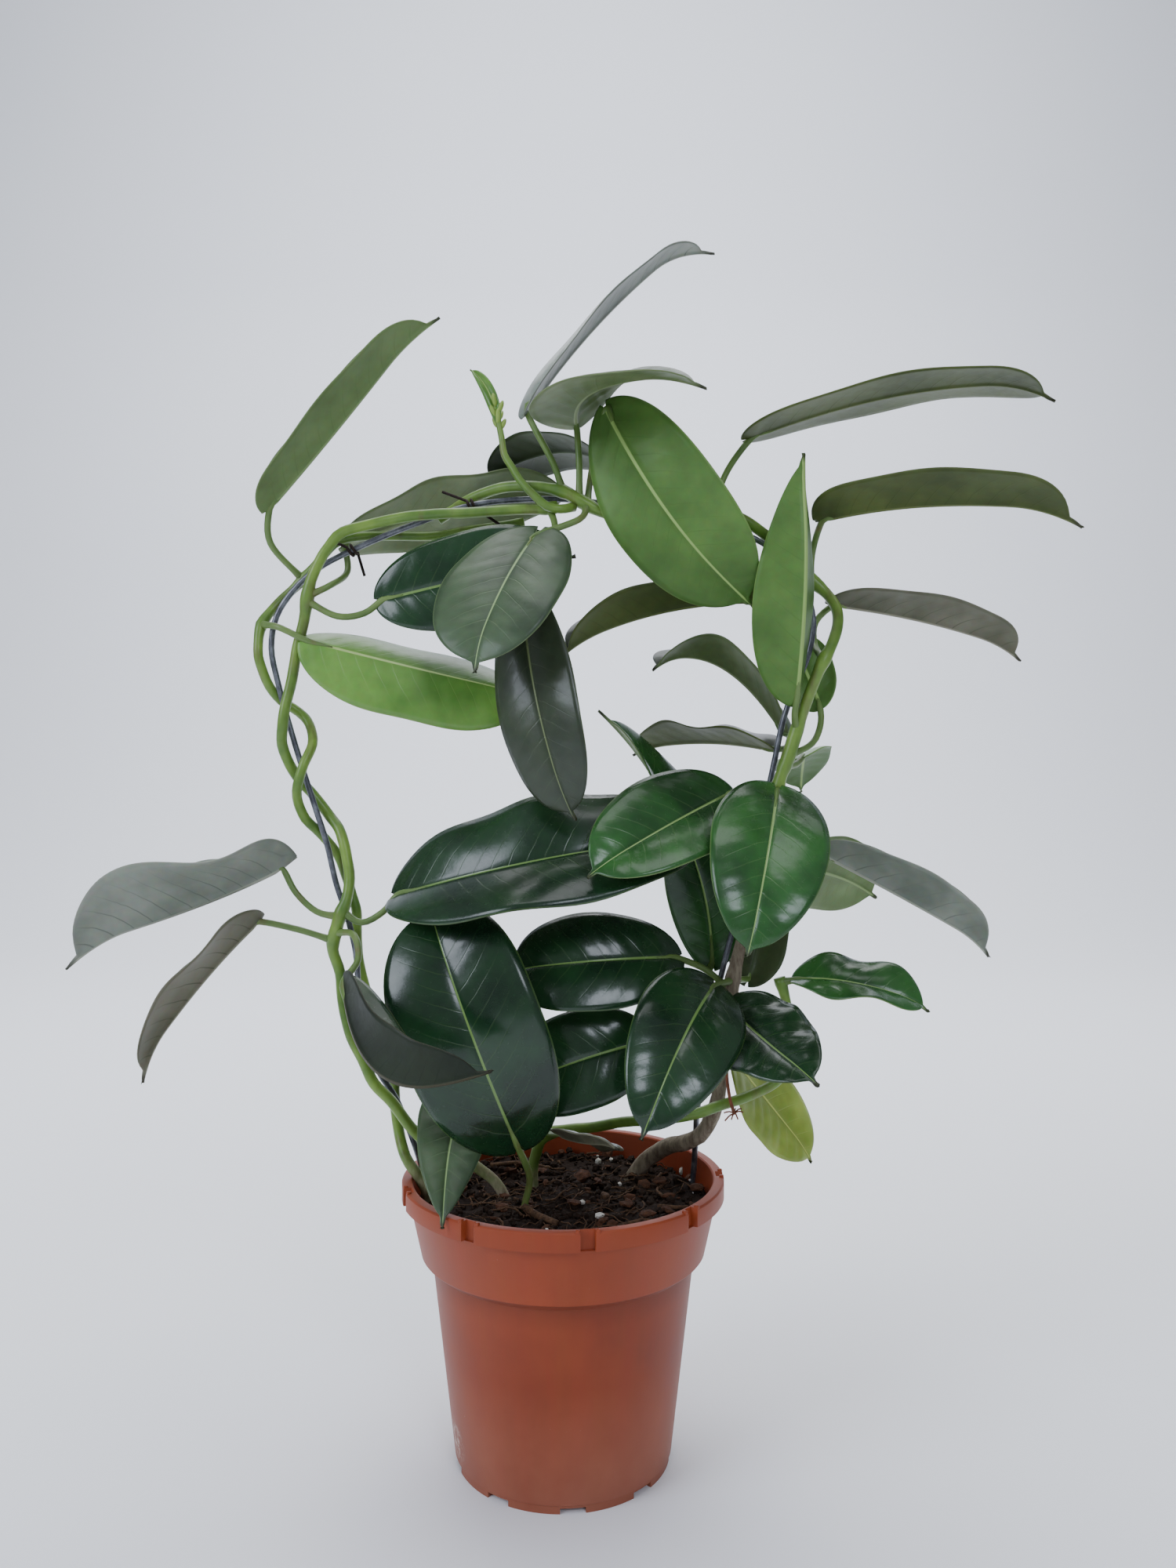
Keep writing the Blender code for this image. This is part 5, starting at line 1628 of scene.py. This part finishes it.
    def root(self, draw: random.Random, index: int) -> Piece | None:
        """Models one fine root that wanders over the soil.

        Args:
            draw: The seeded source of chance.
            index: The root's number; every ninth is a thicker one.

        Returns:
            The root, or None where it would leave the pot at once.
        """
        x, y = self.scatter(draw, self.root_start)
        angle = draw.uniform(0, FULL_TURN)
        length = draw.uniform(5, 20)
        bend = draw.gauss(0, 0.16)
        route = []
        for _ in range(8):
            lift = draw.uniform(0.2, 1.4)
            if math.hypot(x, y) > self.root_end:
                break
            route.append(Vector((x, y, self.level(x, y) + 0.7 + lift)))
            angle += bend + draw.gauss(0, 0.22)
            x += math.cos(angle) * length / 7
            y += math.sin(angle) * length / 7
        if len(route) < 4:
            return None
        thick = draw.uniform(0.16, 0.34) if index % 9 else draw.uniform(0.4, 0.75)
        path = smooth_route(tuple(route), 1.6)
        radii = [thick * (1 - 0.5 * step / len(path)) for step in range(len(path))]
        return tube(f"root_{index}", path, radii, 6)

    def fibres(self) -> Piece:
        """Models the fine roots and twigs that lie on the soil.

        Returns:
            All of them, joined into one piece.
        """
        draw = random.Random(self.seed)
        roots = [self.root(draw, index) for index in range(self.roots)]
        made = [root for root in roots if root]
        for index, (*places, thick) in enumerate(self.twigs):
            knots = [Vector((x, y, self.level(x, y) + thick * 0.9 + 0.8)) for x, y in places]
            path = smooth_route(tuple(knots), 1.5)
            radii = [thick * (1 - 0.02 * step) for step in range(len(path))]
            made.append(tube(f"twig_{index}", path, radii, 8))
        return join_pieces(made, "soil_roots")

    def build(self) -> None:
        """Builds the soil and all that lies on it."""
        peat = CrumbFinish("damp_peat", "#120c08", "#2e2017", 0.98, 1.6)
        dress(self.body(), peat.material(), "soil")
        for kind in self.dressings:
            dress(self.lumps(kind), kind.finish.material(), None)
        dry = CrumbFinish("dry_roots", "#2a1d15", "#644a34", 0.85, 1.5)
        dress(self.fibres(), dry.material(), None)


@dataclass(frozen=True)
class Lamp:
    """One soft square light: place, width and aim in metres, power in watts."""

    name: str
    place: Point
    size: float
    power: float
    colour: str
    aim: Point = (0, 0, 0.25)

    def hang(self) -> None:
        """Hangs the light and turns it to what it shines at."""
        lamp = bpy.data.lights.new(self.name, "AREA")
        lamp.shape = "SQUARE"
        lamp.size = self.size
        lamp.energy = self.power
        lamp.color = linear(self.colour)[:3]
        piece = placed(self.name, lamp)
        piece.location = self.place
        towards = Vector(self.aim) - Vector(self.place)
        piece.rotation_euler = towards.to_track_quat("-Z", "Y").to_euler()


@dataclass
class Studio:
    """A pale sweep, soft lights and the camera."""

    eye: Point = (9.3, -445.0, 251.6)
    lens: float = 27.0
    sensor: float = 36.0
    wall: str = "#eef0f4"
    sky: str = "#e6ebf4"
    sky_strength: float = 0.36
    half_width: float = 3.5  # m
    floor_from: float = -3.0  # m
    floor_to: float = 1.2  # m, where the floor starts to curve up
    curve: float = 0.8  # m, the curve's radius
    wall_top: float = 3.5  # m
    lamps: tuple = (
        Lamp("window_left", (-1.3, -0.9, 1.0), 0.8, 17, "#e9f0ff"),
        Lamp("overhead", (0.1, 0.1, 1.7), 1.3, 17, "#fbfcff"),
        Lamp("window_front", (0.6, -1.7, 1.3), 0.6, 12, "#eaf0ff"),
        Lamp("back_glow", (0.0, 1.0, 1.9), 1.6, 14, "#ffffff"),
        Lamp("wall_wash", (0.0, 0.7, 1.6), 1.6, 30, "#f4f7ff", (0.0, 2.0, 0.9)),
    )

    def sweep(self) -> None:
        """Models the floor that curves up into a wall behind the plant."""
        line = [(self.floor_from, 0.0), (self.floor_to, 0.0)]
        for step in range(1, 13):
            angle = math.pi / 2 * step / 12
            out, up = self.curve * math.sin(angle), self.curve * (1 - math.cos(angle))
            line.append((self.floor_to + out, up))
        line.append((self.floor_to + self.curve, self.wall_top))
        bm = bmesh.new()
        edges = (-self.half_width, self.half_width)
        rows = [[bm.verts.new((x, y, z)) for x in edges] for y, z in line]
        for low, high in zip(rows, rows[1:]):
            bm.faces.new((low[0], low[1], high[1], high[0]))
        floor = meshed("studio_sweep", bm)
        floor.data.shade_smooth()
        paint = Recipe("matte_sweep", Roughness=0.9, Base_Color=linear(self.wall))
        floor.data.materials.append(paint.material)
        floor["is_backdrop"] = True

    def build(self) -> None:
        """Sets up floor, lights, sky and camera."""
        self.sweep()
        for lamp in self.lamps:
            lamp.hang()
        world = bpy.data.worlds.new("studio_sky")
        world.use_nodes = True
        glow = world.node_tree.nodes["Background"].inputs
        glow["Color"].default_value = linear(self.sky)
        glow["Strength"].default_value = self.sky_strength
        bpy.context.scene.world = world
        lens = bpy.data.cameras.new("camera")
        lens.lens = self.lens
        lens.sensor_fit = "VERTICAL"
        lens.sensor_height = self.sensor
        lens.clip_start = 0.01
        camera = placed("camera", lens)
        camera.location = Vector(self.eye) * MM
        camera.rotation_euler = (math.pi / 2, 0, 0)
        bpy.context.scene.camera = camera


def box_lists(bounds: object) -> list[list[float]]:
    """Turns a box's two corners into plain lists of numbers."""
    return [[float(number) for number in corner] for corner in bounds]


def main() -> None:
    """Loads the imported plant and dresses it."""
    logging.basicConfig(level=logging.INFO, format="%(name)s %(message)s")
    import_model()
    clear_selection()
    solid_box = box_lists(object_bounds())
    Studio().build()
    NurseryPot().build()
    PottingMix().build()
    foliage = Foliage(limits=tuple(solid_box))
    foliage.build()
    Climbers().build(foliage)
    clear_selection()


if __name__ == "__main__":
    main()
